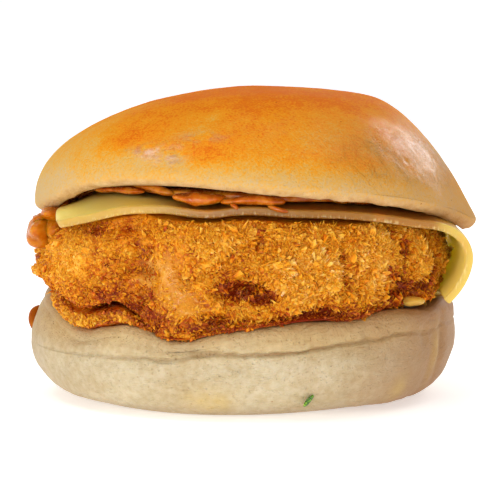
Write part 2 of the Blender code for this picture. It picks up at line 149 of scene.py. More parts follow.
def smoothLine(places, share):
    # Catmull-Rom curve through places, at shares from 0 to 1 of its chord length
    places = np.array(places, float)
    chord = np.concatenate([[0], np.cumsum(np.linalg.norm(np.diff(places, axis=0), axis=1))])
    slope = np.gradient(places, chord, axis=0)
    at = share * chord[-1]
    span = np.clip(np.searchsorted(chord, at, side="right") - 1, 0, len(places) - 2)
    length = (chord[span + 1] - chord[span])[..., None]
    t = (at - chord[span])[..., None] / length
    here, after = places[span], places[span + 1]
    bend = (2 * t - 1) * (after - here) + (1 - t) * length * slope[span] - t * length * slope[span + 1]
    return here * (1 - t) + after * t + t * (1 - t) * bend


def ringStack(centreX, angle, rows):
    # rings round the upright line through (centreX, 0), each of one radius and height for every direction
    return np.array([np.stack([centreX + r * np.cos(angle), r * np.sin(angle), z], 1) for r, z in rows])


def ballRings(sides, layers):
    # rings of a ball of radius 1, from the lowest up, without its poles
    tilt, turn = np.linspace(0, math.pi, layers + 2)[1:-1, None], turns(sides)[None, :]
    return np.stack([np.sin(tilt) * np.cos(turn), np.sin(tilt) * np.sin(turn), -np.cos(tilt) + 0 * turn], 2)


# ---- mesh helpers

def tint(red, green, blue):
    # screen colour, 0 to 255, turned into the linear colour that shaders use
    share = np.array([red, green, blue]) / 255
    linear = np.where(share <= 0.04045, share / 12.92, ((share + 0.055) / 1.055) ** 2.4)
    return (*(float(value) for value in linear), 1.0)


def ringFaces(count, sides):
    # quads between neighbouring rings, and triangle fans to a first and a last pole numbered after them
    side = np.arange(sides)
    after = (side + 1) % sides
    low = np.arange(count - 1)[:, None] * sides
    quads = np.stack([low + side, low + after, low + sides + after, low + sides + side], 2).reshape(-1, 4)
    last = (count - 1) * sides
    first = np.stack([np.full(sides, count * sides), after, side], 1)
    final = np.stack([np.full(sides, count * sides + 1), last + side, last + after], 1)
    return quads, np.vstack([first, final])


def buildMesh(name, points, faceSets, finish, attributes=None, smooth=True):
    # one object from points in millimetres and arrays of faces, with named values at its points
    mesh = bpy.data.meshes.new(name)
    loops = np.concatenate([faces.ravel() for faces in faceSets])
    sizes = np.concatenate([np.full(len(faces), faces.shape[1]) for faces in faceSets])
    starts = np.concatenate([[0], np.cumsum(sizes)[:-1]])
    mesh.vertices.add(len(points))
    mesh.vertices.foreach_set("co", (np.asarray(points) * mm).astype(np.float32).ravel())
    mesh.loops.add(len(loops))
    mesh.loops.foreach_set("vertex_index", loops.astype(np.int32))
    mesh.polygons.add(len(sizes))
    mesh.polygons.foreach_set("loop_start", starts.astype(np.int32))
    mesh.polygons.foreach_set("use_smooth", np.full(len(sizes), smooth))
    for key, values in (attributes or {}).items():
        values = np.asarray(values, np.float32).ravel()
        mesh.attributes.new(key, "FLOAT", "POINT").data.foreach_set("value", values)
    mesh.update(calc_edges=True)
    mesh.validate()
    mesh.materials.append(finish)
    piece = bpy.data.objects.new(name, mesh)
    bpy.context.scene.collection.objects.link(piece)
    print(f"{name}: {sum(len(faces) * (faces.shape[1] - 2) for faces in faceSets)} triangles")
    return piece


def buildShell(name, rings, poles, finish, attributes=None):
    # closed skin from a stack of rings and two poles; an attribute's value at a pole is its nearest ring's mean
    count, sides = rings.shape[:2]
    points = np.vstack([rings.reshape(-1, 3), poles])
    values = {key: np.concatenate([grid.ravel(), [grid[0].mean(), grid[-1].mean()]])
              for key, grid in (attributes or {}).items()}
    return buildMesh(name, points, ringFaces(count, sides), finish, values)


def buildJoined(name, shells, finish, attributes=None):
    # many closed shells, each (rings, first pole, last pole), as one mesh
    points, quads, triangles, offset = [], [], [], 0
    for rings, first, last in shells:
        count, sides = rings.shape[:2]
        points += [rings.reshape(-1, 3), [first], [last]]
        quad, triangle = ringFaces(count, sides)
        quads.append(quad + offset)
        triangles.append(triangle + offset)
        offset += count * sides + 2
    return buildMesh(name, np.vstack(points), [np.vstack(quads), np.vstack(triangles)], finish, attributes)


def settle(piece, slot, *nodes):
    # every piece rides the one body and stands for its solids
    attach(piece, "root")
    if nodes:
        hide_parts(*nodes)
    return piece


# ---- material helpers

class Wire:
    # an output of a material's node; sums and products of wires and numbers add Math nodes
    def __init__(self, paint, socket):
        self.paint, self.socket = paint, socket

    def maths(self, operation, first, second):
        return self.paint.node("ShaderNodeMath", {"operation": operation}, {0: first, 1: second})

    def __add__(self, other):
        return self.maths("ADD", self, other)

    def __sub__(self, other):
        return self.maths("SUBTRACT", self, other)

    def __rsub__(self, other):
        return self.maths("SUBTRACT", other, self)

    def __mul__(self, other):
        return self.maths("MULTIPLY", self, other)

    __radd__, __rmul__ = __add__, __mul__


class Paint:
    # a node material under construction
    def __init__(self, name, **constants):
        self.material = bpy.data.materials.new(name)
        self.material.use_nodes = True
        self.tree = self.material.node_tree
        self.shader = self.tree.nodes["Principled BSDF"]
        for key, value in constants.items():
            self.shader.inputs[key.replace("_", " ")].default_value = value

    def plug(self, socket, value):
        if isinstance(value, Wire):
            self.tree.links.new(value.socket, socket)
        else:
            socket.default_value = value

    def node(self, kind, settings=None, values=None, output=0):
        # any node: its settings first (a ramp's stops among them), then its sockets' values or wires
        made = self.tree.nodes.new(kind)
        for key, value in (settings or {}).items():
            if key == "stops":
                elements = made.color_ramp.elements
                while len(elements) < len(value):
                    elements.new(1.0)
                for element, (place, colour) in zip(elements, value):
                    element.position, element.color = place, colour
            else:
                setattr(made, key, value)
        for key, value in (values or {}).items():
            self.plug(made.inputs[key], value)
        return Wire(self, made.outputs[output])

    def place(self, stretch=(1, 1, 1)):
        # object coordinates, with an axis stretched where its factor is under 1
        spot = self.node("ShaderNodeTexCoord", output="Object")
        if stretch == (1, 1, 1):
            return spot
        return self.node("ShaderNodeMapping", {}, {"Vector": spot, "Scale": stretch})

    def grain(self, size, detail=2.0, rough=0.5, stretch=(1, 1, 1), warp=0.0):
        # noise from 0 to 1 with lumps of about size millimetres
        return self.node("ShaderNodeTexNoise", {}, {"Vector": self.place(stretch), "Scale": 1 / (size * mm),
                                                    "Detail": detail, "Roughness": rough, "Distortion": warp})

    def cells(self, size):
        # distance to the nearest random point, points about size millimetres apart
        return self.node("ShaderNodeTexVoronoi", {}, {"Vector": self.place(), "Scale": 1 / (size * mm)})

    def value(self, name):
        return self.node("ShaderNodeAttribute", {"attribute_name": name}, output="Fac")

    def step(self, wire, low, high):
        # 0 below low, 1 above high, smooth between
        return self.node("ShaderNodeMapRange", {"interpolation_type": "SMOOTHSTEP"},
                         {"Value": wire, "From Min": low, "From Max": high})

    def ramp(self, wire, *stops):
        # each stop is its place, red, green and blue
        stops = [(place, tint(*colour)) for place, *colour in stops]
        return self.node("ShaderNodeValToRGB", {"stops": stops}, {0: wire})

    def blend(self, base, *layers):
        # each layer is its share and its colour, laid over what is before it
        for share, colour in layers:
            over = colour if isinstance(colour, Wire) else tint(*colour)
            base = self.node("ShaderNodeMix", {"data_type": "RGBA"}, {0: share, 6: base, 7: over}, 2)
        return base

    def bump(self, *layers):
        # each layer is its height, distance in millimetres and strength, on top of what is before it
        normal = None
        for height, distance, strength in layers:
            values = {"Height": height, "Distance": distance * mm, "Strength": strength}
            if normal:
                values["Normal"] = normal
            normal = self.node("ShaderNodeBump", {}, values)
        return normal

    def surface(self, **wires):
        for key, wire in wires.items():
            self.plug(self.shader.inputs[key.replace("_", " ")], wire)
        return self.material


# ---- heel of the bun

heel = {
    "centreX": -1.5,
    "radius": [52.9, 52.2, 51.2, 52.0, 52.9, 52.2, 51.0, 52.2],
    "footRadius": 36.5, "footDents": [(-10, -2.0, 34)], "widestZ": 13.6,
    "rimZ": [23.6, 23.6, 23.4, 24.6, 26.4, 20.4, 21.4, 24.4],
    "rimDents": [(-143, -1.8, 10), (-125, 2.0, 9), (-106.5, -1.4, 8), (-62, -1.1, 8), (-30, -0.7, 8),
                 (-13, 0.9, 9), (70, -1.2, 12)],
    "lean": [0.7, 1.5, 2.2, 2.8, 3.2, 2.0, 1.0, 0.8],
    "dishZ": 18.2, "rimRound": 2.6,
    "creaseZ": [19.0, 17.6, 16.0, 15.0, 13.4, 13.8, 16.0, 18.2],
    "creaseDepth": 0.9, "creaseWidth": 0.5, "foldDepth": 0.35, "foldWidth": 0.26, "lipRoll": 0.7,
    "creaseArcs": [(-80, 0.85, 44), (95, 0.5, 46)],
    "sides": 400, "footRows": 60, "sideRows": 70, "rimRows": 16, "dishRows": 26,
    "lumpDepth": 0.7, "fineDepth": 0.24,
    "smears": [(-153, 25.4, 0.9, 4, 3), (-99.5, 4.6, 0.9, 4.5, 2.6), (-27, 13.3, 0.55, 2.2, 6),
               (-43, 5.4, 0.45, 2.5, 3), (150, 20.0, 0.6, 6, 4), (62, 8.0, 0.5, 6, 3)],
    "dimples": [(-16, 8.5, -0.8, 20, 4.5), (-93, 11.0, 0.45, 0.9, 2.2), (-102, 16.0, -0.4, 4, 0.7),
                (-91, 12.6, -0.5, 1.6, 1.0), (-88, 9.0, -0.35, 5, 3), (-56, 19.6, -0.5, 1.0, 4),
                (-30, 10.0, -0.5, 2.0, 9), (-118, 9.5, 0.5, 9, 5), (-70, 12.0, 0.5, 10, 5),
                (-35, 4.0, 1.5, 24, 4), (-145, 4.0, 0.8, 22, 4), (-34, 17.5, -0.6, 1.6, 3),
                (-24, 14.0, -0.8, 1.8, 8), (-60, 6.0, -0.4, 1.4, 5), (-128, 20.5, -0.5, 3, 1.5),
                (-96, 18.5, 0.4, 6, 2)],
    "shaded": [(-14, 0.85, 26), (-42, 0.425, 24), (-172, 0.22, 22)], "yellower": [(-160, 0.2, 30)],
}


def heelRim(angle):
    return around(heel["rimZ"], angle) + swell(angle, heel["rimDents"])


def heelTop(x, y):
    # dish + (rim - dish) * share^4, share being the distance out over the inner edge's
    angle = np.arctan2(y, x - heel["centreX"])
    share = np.hypot(x - heel["centreX"], y) / (around(heel["radius"], angle) - 2 * heel["rimRound"])
    return heel["dishZ"] + (heelRim(angle) - heel["dishZ"]) * np.clip(share, 0, 1) ** 4


def heelRings():
    # a quarter ellipse from foot to widest, a leaning side with a crease and a rolled lip, the rim, the dish
    angle = turns(heel["sides"])
    radius, rim, lean = around(heel["radius"], angle), heelRim(angle), around(heel["lean"], angle)
    ringPlace = 50 * np.stack([np.cos(angle), np.sin(angle), 0 * angle], 1)
    crease = around(heel["creaseZ"], angle) + 1.3 * roughNoise(ringPlace, 9.0, 61)
    creased = np.clip(0.12 + swell(angle, heel["creaseArcs"]), 0, 1) * (0.9 + 0.35 * softNoise(ringPlace, 14.0, 62))
    foot = heel["footRadius"] * (1 + 0.05 * np.sin(3 * angle + 1)) + swell(angle, heel["footDents"])
    rows, marks = [], []
    for share in (0.2, 0.5, 0.8):
        rows.append((foot * share, 0 * angle))
    for turn in np.linspace(0, math.pi / 2, heel["footRows"]):
        rise = heel["widestZ"] * (1 - np.cos(turn))
        rows.append((foot + (radius - foot) * np.sin(turn), rise + 0 * angle))
    marks += [0 * angle] * len(rows)
    for share in np.linspace(0, 1, heel["sideRows"] + 2)[1:-1]:
        height = heel["widestZ"] + (rim - heel["rimRound"] - heel["widestZ"]) * share
        groove = np.exp(-(((height - crease) / heel["creaseWidth"]) ** 2))
        fold = np.exp(-(((height - crease) / heel["foldWidth"]) ** 2))
        roll = heel["lipRoll"] * ease(0, 2.5, height - crease)
        relief = roll - heel["creaseDepth"] * groove - heel["foldDepth"] * fold
        rows.append((radius - lean * share**2 + creased * relief, height))
        marks.append(creased * (0.45 * groove + 0.55 * fold))
    edge = radius - lean + creased * heel["lipRoll"]
    for turn in np.linspace(0, math.pi / 2, heel["rimRows"]):
        rows.append((edge - heel["rimRound"] * (1 - np.cos(turn)), rim - heel["rimRound"] * (1 - np.sin(turn))))
    for share in np.linspace(0.96, 0.04, heel["dishRows"]):
        inner = share * (edge - heel["rimRound"])
        rows.append((inner, heelTop(heel["centreX"] + inner * np.cos(angle), inner * np.sin(angle))))
    marks += [0 * angle] * (len(rows) - len(marks))
    return ringStack(heel["centreX"], angle, rows), np.array(marks)


def heelFinish():
    paint = Paint("paleBun", Subsurface_Weight=0.25, Subsurface_Radius=(1.0, 0.55, 0.25),
                  Subsurface_Scale=0.003)
    cloud, fine = paint.grain(13, 4, 0.6), paint.grain(1.6, 3, 0.6)
    tone = paint.step(cloud, 0.3, 0.72) * 0.42 + paint.step(fine, 0.3, 0.7) * 0.44 + 0.02
    base = paint.ramp(tone, (0.0, 178, 156, 114), (0.5, 193, 176, 141), (1.0, 208, 195, 165))
    yellower = paint.ramp(tone, (0.0, 178, 144, 88), (1.0, 202, 174, 120))
    # painted shade: the bun is drawn browner along its crease and the fold under the lip
    crease = paint.step(paint.value("crease"), 0.3, 1.0)
    speck = (1 - paint.step(paint.cells(3.2), 0.05, 0.1)) * paint.step(paint.grain(7, 1), 0.5, 0.62)
    base = paint.blend(base, (paint.value("upper"), yellower), (paint.value("shade"), (152, 108, 60)),
                       (paint.value("smear"), (204, 170, 78)), (crease * 0.6, (160, 108, 50)),
                       (speck * 0.6, (150, 98, 50)))
    pores, wrinkle = paint.step(paint.cells(0.85), 0.0, 0.34), paint.grain(4.2, 5, 0.68, (0.5, 0.5, 1.0), 0.8)
    bump = paint.bump((wrinkle, 1.1, 0.8), (pores, 0.22, 0.9), (paint.grain(0.5, 2), 0.2, 0.9))
    return paint.surface(Base_Color=base, Roughness=0.52 + 0.12 * fine, Normal=bump)


def makeHeel():
    rings, crease = heelRings()
    normal = outward(rings)
    lumps = 0.7 * softNoise(rings, 24.0, 11) + 0.3 * softNoise(rings, 9.0, 12)
    raised = ease(1.0, 6.0, rings[..., 2]) * ease(20.0, 17.0, rings[..., 2])
    sideOnly = ease(0.4, 3.0, rings[..., 2]) * (np.arange(len(rings)) < len(rings) - heel["dishRows"])[:, None]
    small = heel["fineDepth"] * roughNoise(rings, 5.0, 63) + spots(rings, heel["centreX"], heel["dimples"])
    rings = rings + normal * (heel["lumpDepth"] * lumps * raised + small * sideOnly)[..., None]
    rings[..., 2] = np.maximum(rings[..., 2], 0)
    angle, height = bearing(rings, heel["centreX"]), rings[..., 2]
    smear = spots(rings, heel["centreX"], heel["smears"]) * (0.6 + 0.6 * roughNoise(rings, 3.0, 64))
    shade = swell(angle, heel["shaded"]) + 0.3 * ease(4.0, 0.0, height)
    shade += 0.3 * ease(-4.0, -0.5, height - heelRim(angle)) + 0.14 * roughNoise(rings, 12.0, 69)
    upper = 0.85 * ease(12, 21, height) + 0.3 * roughNoise(rings, 9.0, 74) + swell(angle, heel["yellower"])
    marks = {"crease": crease, "smear": smear, "shade": shade, "upper": upper}
    piece = buildShell("heelSkin", rings, [(0, 0, 0), (heel["centreX"], 0, heel["dishZ"])], heelFinish(),
                       {key: np.clip(values, 0, 1) for key, values in marks.items()})
    return settle(piece, "bun_bottom", "bun_bottom")


# ---- crown of the bun

crown = {
    "centreX": 1.5,
    "radius": [54.7, 53.8, 52.8, 53.6, 54.9, 54.0, 53.0, 54.2],
    "rimZ": [41.6, 48.0, 50.6, 50.0, 45.6, 53.6, 53.0, 48.2],
    "rimDents": [(-163, -1.5, 12), (-12, -0.6, 12)],
    "topZ": 76.0, "underZ": 53.6, "lipZ": 2.4, "lipShare": 0.94,
    "sides": 520, "underRows": 14, "lipRows": 14, "domeRows": 150,
    "lumpDepth": 0.8, "fineDepth": 0.14, "frayDepth": 0.5, "frayHeight": 1.6, "wrinkleDepth": 0.16,
    "bakedFromZ": 49.5, "bakedSpan": 26,
    "brownedAndShaded": [(-128.5, 65.0, 0.34, 6.5, 3.2), (-104.5, 62.4, 0.42, 6.0, 2.8), (-62, 59.8, 0.22, 13, 3.6),
                (-40, 56.0, 0.10, 7, 3.0), (-128, 52.6, 0.16, 8, 1.6), (-92, 68.0, 0.06, 16, 5),
                (60, 64.0, 0.22, 12, 5), (130, 60.0, 0.2, 9, 4), (10, 62.0, 0.14, 10, 6),
                # the last two places are painted shade on the lower left rim, where the crown meets the cheese
                (-162, 45.5, 0.55, 9, 2.4), (-148, 48.0, 0.3, 8, 1.6)],
    "paler": [(-112, 60.5, 0.16, 7, 2.4), (-106, 70.0, 0.18, 2.4, 1.4), (-108, 66.4, 0.14, 5, 1.6),
              (-90, 56.5, 0.12, 14, 1.8), (-150, 54.0, 0.10, 10, 4)],
    "dents": [(-112, 61.5, -0.5, 7, 2.0), (-108, 66.0, 0.3, 8, 1.8), (-104, 70.2, -0.22, 3.0, 1.0),
              (-98, 55.6, -0.3, 3, 1.2), (-116, 56.8, 0.35, 9, 1.6), (-60, 55.0, 0.4, 16, 2.0),
              (-43, 59.4, -0.3, 0.7, 0.6)],
    "shoulderX": 34, "shoulderWide": 8, "shoulderDeep": 22, "shoulderRise": 1.3,
    "wrinkled": [(-42, 60, 1.0, 24, 8), (-115, 62, 0.5, 12, 4)],
    "crinkled": [(-48, 60, 1.0, 22, 7), (-20, 56, 0.7, 20, 8), (-115, 62, 0.5, 10, 5)],
    # places of gloss, where the colour is also drawn darker as painted shade
    "glazed": [(-40, 62, 1.0, 26, 8), (-122, 62.4, 1.4, 3.5, 1.4), (-106, 65.6, 1.3, 4.5, 1.0),
               (-114, 61.2, 1.4, 4, 2.2)],
}


def crownRim(angle):
    return around(crown["rimZ"], angle) + swell(angle, crown["rimDents"])


def crownUnder(x, y):
    # rim + (under - rim) * (1 - share^8), share being the distance out over the lip's
    angle = np.arctan2(y, x - crown["centreX"])
    share = np.hypot(x - crown["centreX"], y) / (crown["lipShare"] * around(crown["radius"], angle))
    rim = crownRim(angle)
    return rim + (crown["underZ"] - rim) * (1 - np.clip(share, 0, 1) ** 8)


def crownRings():
    # cut face, rounded lip, then base + (top - base) * (1 - share^power)^root, steep left and sloping right
    angle = turns(crown["sides"])
    radius, rim = around(crown["radius"], angle), crownRim(angle)
    power, root = 2.8 + 0.8 * np.cos(angle), 0.725 + 0.225 * np.cos(angle)
    rows = []
    for share in np.linspace(0.05, 0.985, crown["underRows"]):
        inner = share * crown["lipShare"] * radius
        rows.append((inner, crownUnder(crown["centreX"] + inner * np.cos(angle), inner * np.sin(angle))))
    for turn in np.linspace(0, math.pi / 2, crown["lipRows"]):
        share = crown["lipShare"] + (1 - crown["lipShare"]) * np.sin(turn)
        rows.append((share * radius, rim + crown["lipZ"] * (1 - np.cos(turn))))
    base = rim + crown["lipZ"]
    for turn in np.linspace(math.pi / 2, 0, crown["domeRows"] + 2)[1:-1]:
        share = math.sin(turn)
        rows.append((share * radius, base + (crown["topZ"] - base) * (1 - share**power) ** root))
    return ringStack(crown["centreX"], angle, rows)


def crownFinish():
    paint = Paint("goldenBun", Subsurface_Weight=0.12, Subsurface_Radius=(1.0, 0.4, 0.1),
                  Subsurface_Scale=0.002, Specular_IOR_Level=0.0, Coat_Roughness=0.24)
    baked, cut, glaze = paint.value("baked"), paint.value("cut"), paint.value("glaze")
    blister, fine, cloud = paint.grain(0.55, 2, 0.6), paint.grain(2.4, 3, 0.6), paint.grain(9, 3, 0.6)
    # the tone runs from pale to deep orange with height, and carries painted shade on the lower right and on the
    # lower left rim
    tone = baked + (blister - 0.5) + (fine - 0.5) * 0.36 + (cloud - 0.5) * 0.5
    base = paint.ramp(tone, (0.02, 198, 166, 116), (0.2, 206, 164, 94), (0.42, 214, 158, 66),
                      (0.62, 222, 146, 32), (0.82, 222, 132, 24), (1.05, 214, 106, 18))
    crumbed = paint.ramp(fine, (0.3, 190, 146, 88), (0.7, 214, 180, 128))
    speck = (1 - paint.step(paint.cells(5.0), 0.03, 0.06)) * paint.step(blister, 0.45, 0.6)
    # painted shade: the colour is drawn darker under the gloss places
    base = paint.blend(base, (cut, crumbed), (glaze * 0.5, (160, 92, 52)),
                       # painted shade: darker on the lower right
                       (paint.value("dim") * 0.45, (166, 104, 48)), (speck * 0.65, (120, 62, 22)))
    wrinkle = paint.grain(5.0, 5, 0.62, (1.0, 1.0, 0.45), 1.2) * paint.step(paint.value("crinkle"), 0.1, 0.9)
    pores = paint.step(paint.cells(0.9), 0.0, 0.4)
    bump = paint.bump((wrinkle, 2.2, 1.0), (fine, 0.3, 0.6), (pores, 0.12, 0.7), (blister, 0.26, 0.9))
    shine = paint.step(baked, 0.1, 0.6) * (1 - cut)
    crisp = paint.step(paint.grain(2.2, 5, 0.75, (1.0, 1.0, 0.6), 1.0), 0.42, 0.6)
    return paint.surface(Base_Color=base, Roughness=0.56 - 0.12 * shine,
                         Coat_Weight=0.05 + glaze * (0.48 + 0.5 * crisp), Normal=bump)


def makeCrown():
    rings = crownRings()
    centreX = crown["centreX"]
    angle = bearing(rings, centreX)
    height = rings[..., 2] - crownRim(angle)
    isTop = (np.arange(len(rings)) >= crown["underRows"])[:, None]
    dome = ease(0.5, 6.0, height) * isTop
    lumps = 0.75 * softNoise(rings, 30.0, 21) + 0.25 * softNoise(rings, 12.0, 22)
    small = crown["fineDepth"] * roughNoise(rings, 6.0, 65) + spots(rings, centreX, crown["dents"])
    frayed = crown["frayDepth"] * roughNoise(rings, 3.0, 66) * np.exp(-((height / crown["frayHeight"]) ** 2))
    frayed = frayed * (rings[..., 2] < crown["underZ"])
    wrinkled = np.clip(spots(rings, centreX, crown["wrinkled"]), 0, 1)
    wrinkles = crown["wrinkleDepth"] * (0.5 - np.abs(roughNoise(rings * (1, 1, 0.55), 3.2, 77, 3))) * wrinkled
    wrinkles += 0.05 * roughNoise(rings, 1.6, 78, 2) * (0.4 + 0.6 * wrinkled)
    rings = rings + outward(rings) * ((crown["lumpDepth"] * lumps + small + wrinkles) * dome)[..., None]
    across = (rings[..., 0] - crown["shoulderX"]) / crown["shoulderWide"]
    shoulder = np.exp(-(across**2) - (rings[..., 1] / crown["shoulderDeep"]) ** 2) * dome
    rings[..., 2] += frayed + crown["shoulderRise"] * shoulder
    baked = (rings[..., 2] - crown["bakedFromZ"]) / crown["bakedSpan"]
    baked = baked + 0.10 * softNoise(rings, 16.0, 67) + 0.05 * softNoise(rings, 6.0, 68)
    baked += spots(rings, centreX, crown["brownedAndShaded"]) - spots(rings, centreX, crown["paler"])
    # painted shade: the crust's lower right is drawn browner
    baked += swell(angle, [(-14, 0.32, 32)]) * ease(60, 50, rings[..., 2])
    patchy = np.clip(0.35 + 2.2 * roughNoise(rings * (1, 1, 1.8), 2.0, 75), 0, 1)
    patchy = np.maximum(patchy, 0.85 * ease(-85, -65, np.degrees(angle)))
    marks = {"baked": np.clip(baked, 0, 1.1), "cut": np.where(isTop, ease(1.9, 0.5, height), 1.0),
             "crinkle": spots(rings, centreX, crown["crinkled"]),
             "glaze": np.clip(spots(rings, centreX, crown["glazed"]), 0, 1) * patchy,
             # painted shade on the lower right
             "dim": swell(angle, [(-18, 1, 34)]) * ease(66, 54, rings[..., 2])}
    poles = [(centreX, 0, crown["underZ"]), (centreX, 0, crown["topZ"])]
    return settle(buildShell("crownSkin", rings, poles, crownFinish(), marks), "bun_top", "bun_top")


# ---- cheese slice: its section, seen from the front, is a smooth line through sectionX and sectionZ

cheese = {
    "thick": 2.0, "deep": 92.0, "ends": 68.0, "cornerRound": 2.6,
    "sectionX": [-46.0, -40.9, -36.9, -32.1, -20.8, -9.2, -2.3, 10.2, 23.2,
                 37.7, 45.2, 48.7, 50.9, 51.9, 51.5, 50.3, 48.5, 46.7],
    "sectionZ": [47.4, 48.8, 49.8, 50.4, 49.7, 48.7, 49.4, 48.8, 48.2,
                 46.1, 44.3, 42.6, 40.2, 37.0, 34.0, 31.1, 28.4, 26.4],
    "frontSag": 0.8, "backSag": 5.0, "leftSag": 1.5, "cornerDroop": 2.4, "waveDepth": 0.18, "waveSize": 9.0,
    "rows": 340, "columns": 96, "wallRows": 14, "wallBulge": 0.22, "nick": 0.2, "edgeRound": 0.55,
    "brownerPlaces": [(-82, 1, 30), (20, 1, 60), (120, 1, 40)],
    "folds": [((38.6, -30.0, 25.9), (2.6, 2.4, 1.0), 76, 0.4), ((46.0, 0.0, 25.4), (2.8, 7.0, 1.7), 79, 0.2)],
}


def cheeseSection(share):
    # place and upward normal of the section at shares of its length
    places = np.stack([cheese["sectionX"], cheese["sectionZ"]], 1)
    line = smoothLine(places, share)
    before, after = (smoothLine(places, np.clip(share + step, 0, 1)) for step in (-0.004, 0.004))
    heading = unit(after - before)
    return line[..., 0], line[..., 1], -heading[..., 1], heading[..., 0]


def cheeseHalf(x):
    # half depth: half of deep + (ends - deep) * (x / 46)^2, less a quarter ellipse at the left corners
    rounding = cheese["cornerRound"] * (1 - np.sqrt(1 - np.clip((-42 - x) / 4, 0, 1) ** 2))
    depth = cheese["deep"] + (cheese["ends"] - cheese["deep"]) * np.clip(x / 46, -1, 1) ** 2
    return depth / 2 - rounding


def cheeseSag(share, x):
    # how far the slice sinks below its section, from share -1 at its front edge to 1 at its back one
    flat = 0.3 + 0.7 * ease(46, 38, x)
    edges = cheese["frontSag"] * ease(-0.74, -1, share) + cheese["backSag"] * ease(0.6, 1, share)
    corner = cheese["cornerDroop"] * ease(-19, -39, x) * ease(-0.56, -1, share)
    return edges * flat + corner + cheese["leftSag"] * ease(-36, -46, x) * ease(-0.8, -0.4, share)


def cheeseMiddle(rows, columns):
    # section swept across the depth, less its sag along the normal
    x, z, normalX, normalZ = cheeseSection(np.linspace(0, 1, rows)[:, None])
    share = np.linspace(-1, 1, columns)[None, :]
    sag = cheeseSag(share, x)
    points = np.stack([x - sag * normalX, share * cheeseHalf(x), z - sag * normalZ], 2)
    return points, unit(np.cross(np.gradient(points, axis=0), np.gradient(points, axis=1)))


def cheeseLevel(x, y, side):
    # height of the slice's upper (1) or lower (-1) face, left of where it hangs down
    sectionX, sectionZ, normalX, normalZ = cheeseSection(np.linspace(0, 0.9, 300))
    reach = side * (cheese["thick"] / 2 + 0.15)
    rising = np.maximum.accumulate(sectionX + reach * normalX)
    return np.interp(x, rising, sectionZ + reach * normalZ) - cheeseSag(np.clip(y / cheeseHalf(x), -1, 1), x)


def cheeseFinish():
    paint = Paint("mildCheese", Subsurface_Weight=0.85, Subsurface_Radius=(1.0, 0.8, 0.3),
                  Subsurface_Scale=0.009, Specular_IOR_Level=0.32)
    cloud, fine, wall, low = paint.grain(16, 2), paint.grain(0.7, 2), paint.value("wall"), paint.value("low")
    stria, scored = paint.grain(1.1, 2, 0.5, (1.0, 1.0, 0.12)), paint.grain(0.7, 2, 0.6, (1.0, 1.0, 0.16))
    base = paint.blend(paint.ramp(cloud, (0.35, 188, 148, 60), (0.7, 198, 162, 78)),
                       (wall * (0.3 + 0.2 * paint.step(stria, 0.35, 0.7)), (190, 153, 82)),
                       (paint.value("shade"), (150, 96, 30)), (paint.value("stained") * 0.6, (206, 128, 48)),
                       (paint.value("lit"), (230, 203, 108)),
                       (low * paint.step(scored, 0.5, 0.64) * 0.4, (236, 216, 160)))
    bump = paint.bump((scored * low, 0.4, 0.8), (stria * wall, 0.14, 0.4), (cloud, 0.8, 0.3), (fine, 0.05, 0.35))
    rough = 0.30 + 0.12 * paint.grain(6, 2) + 0.5 * paint.value("inner")
    return paint.surface(Base_Color=base, Roughness=rough, Normal=bump)


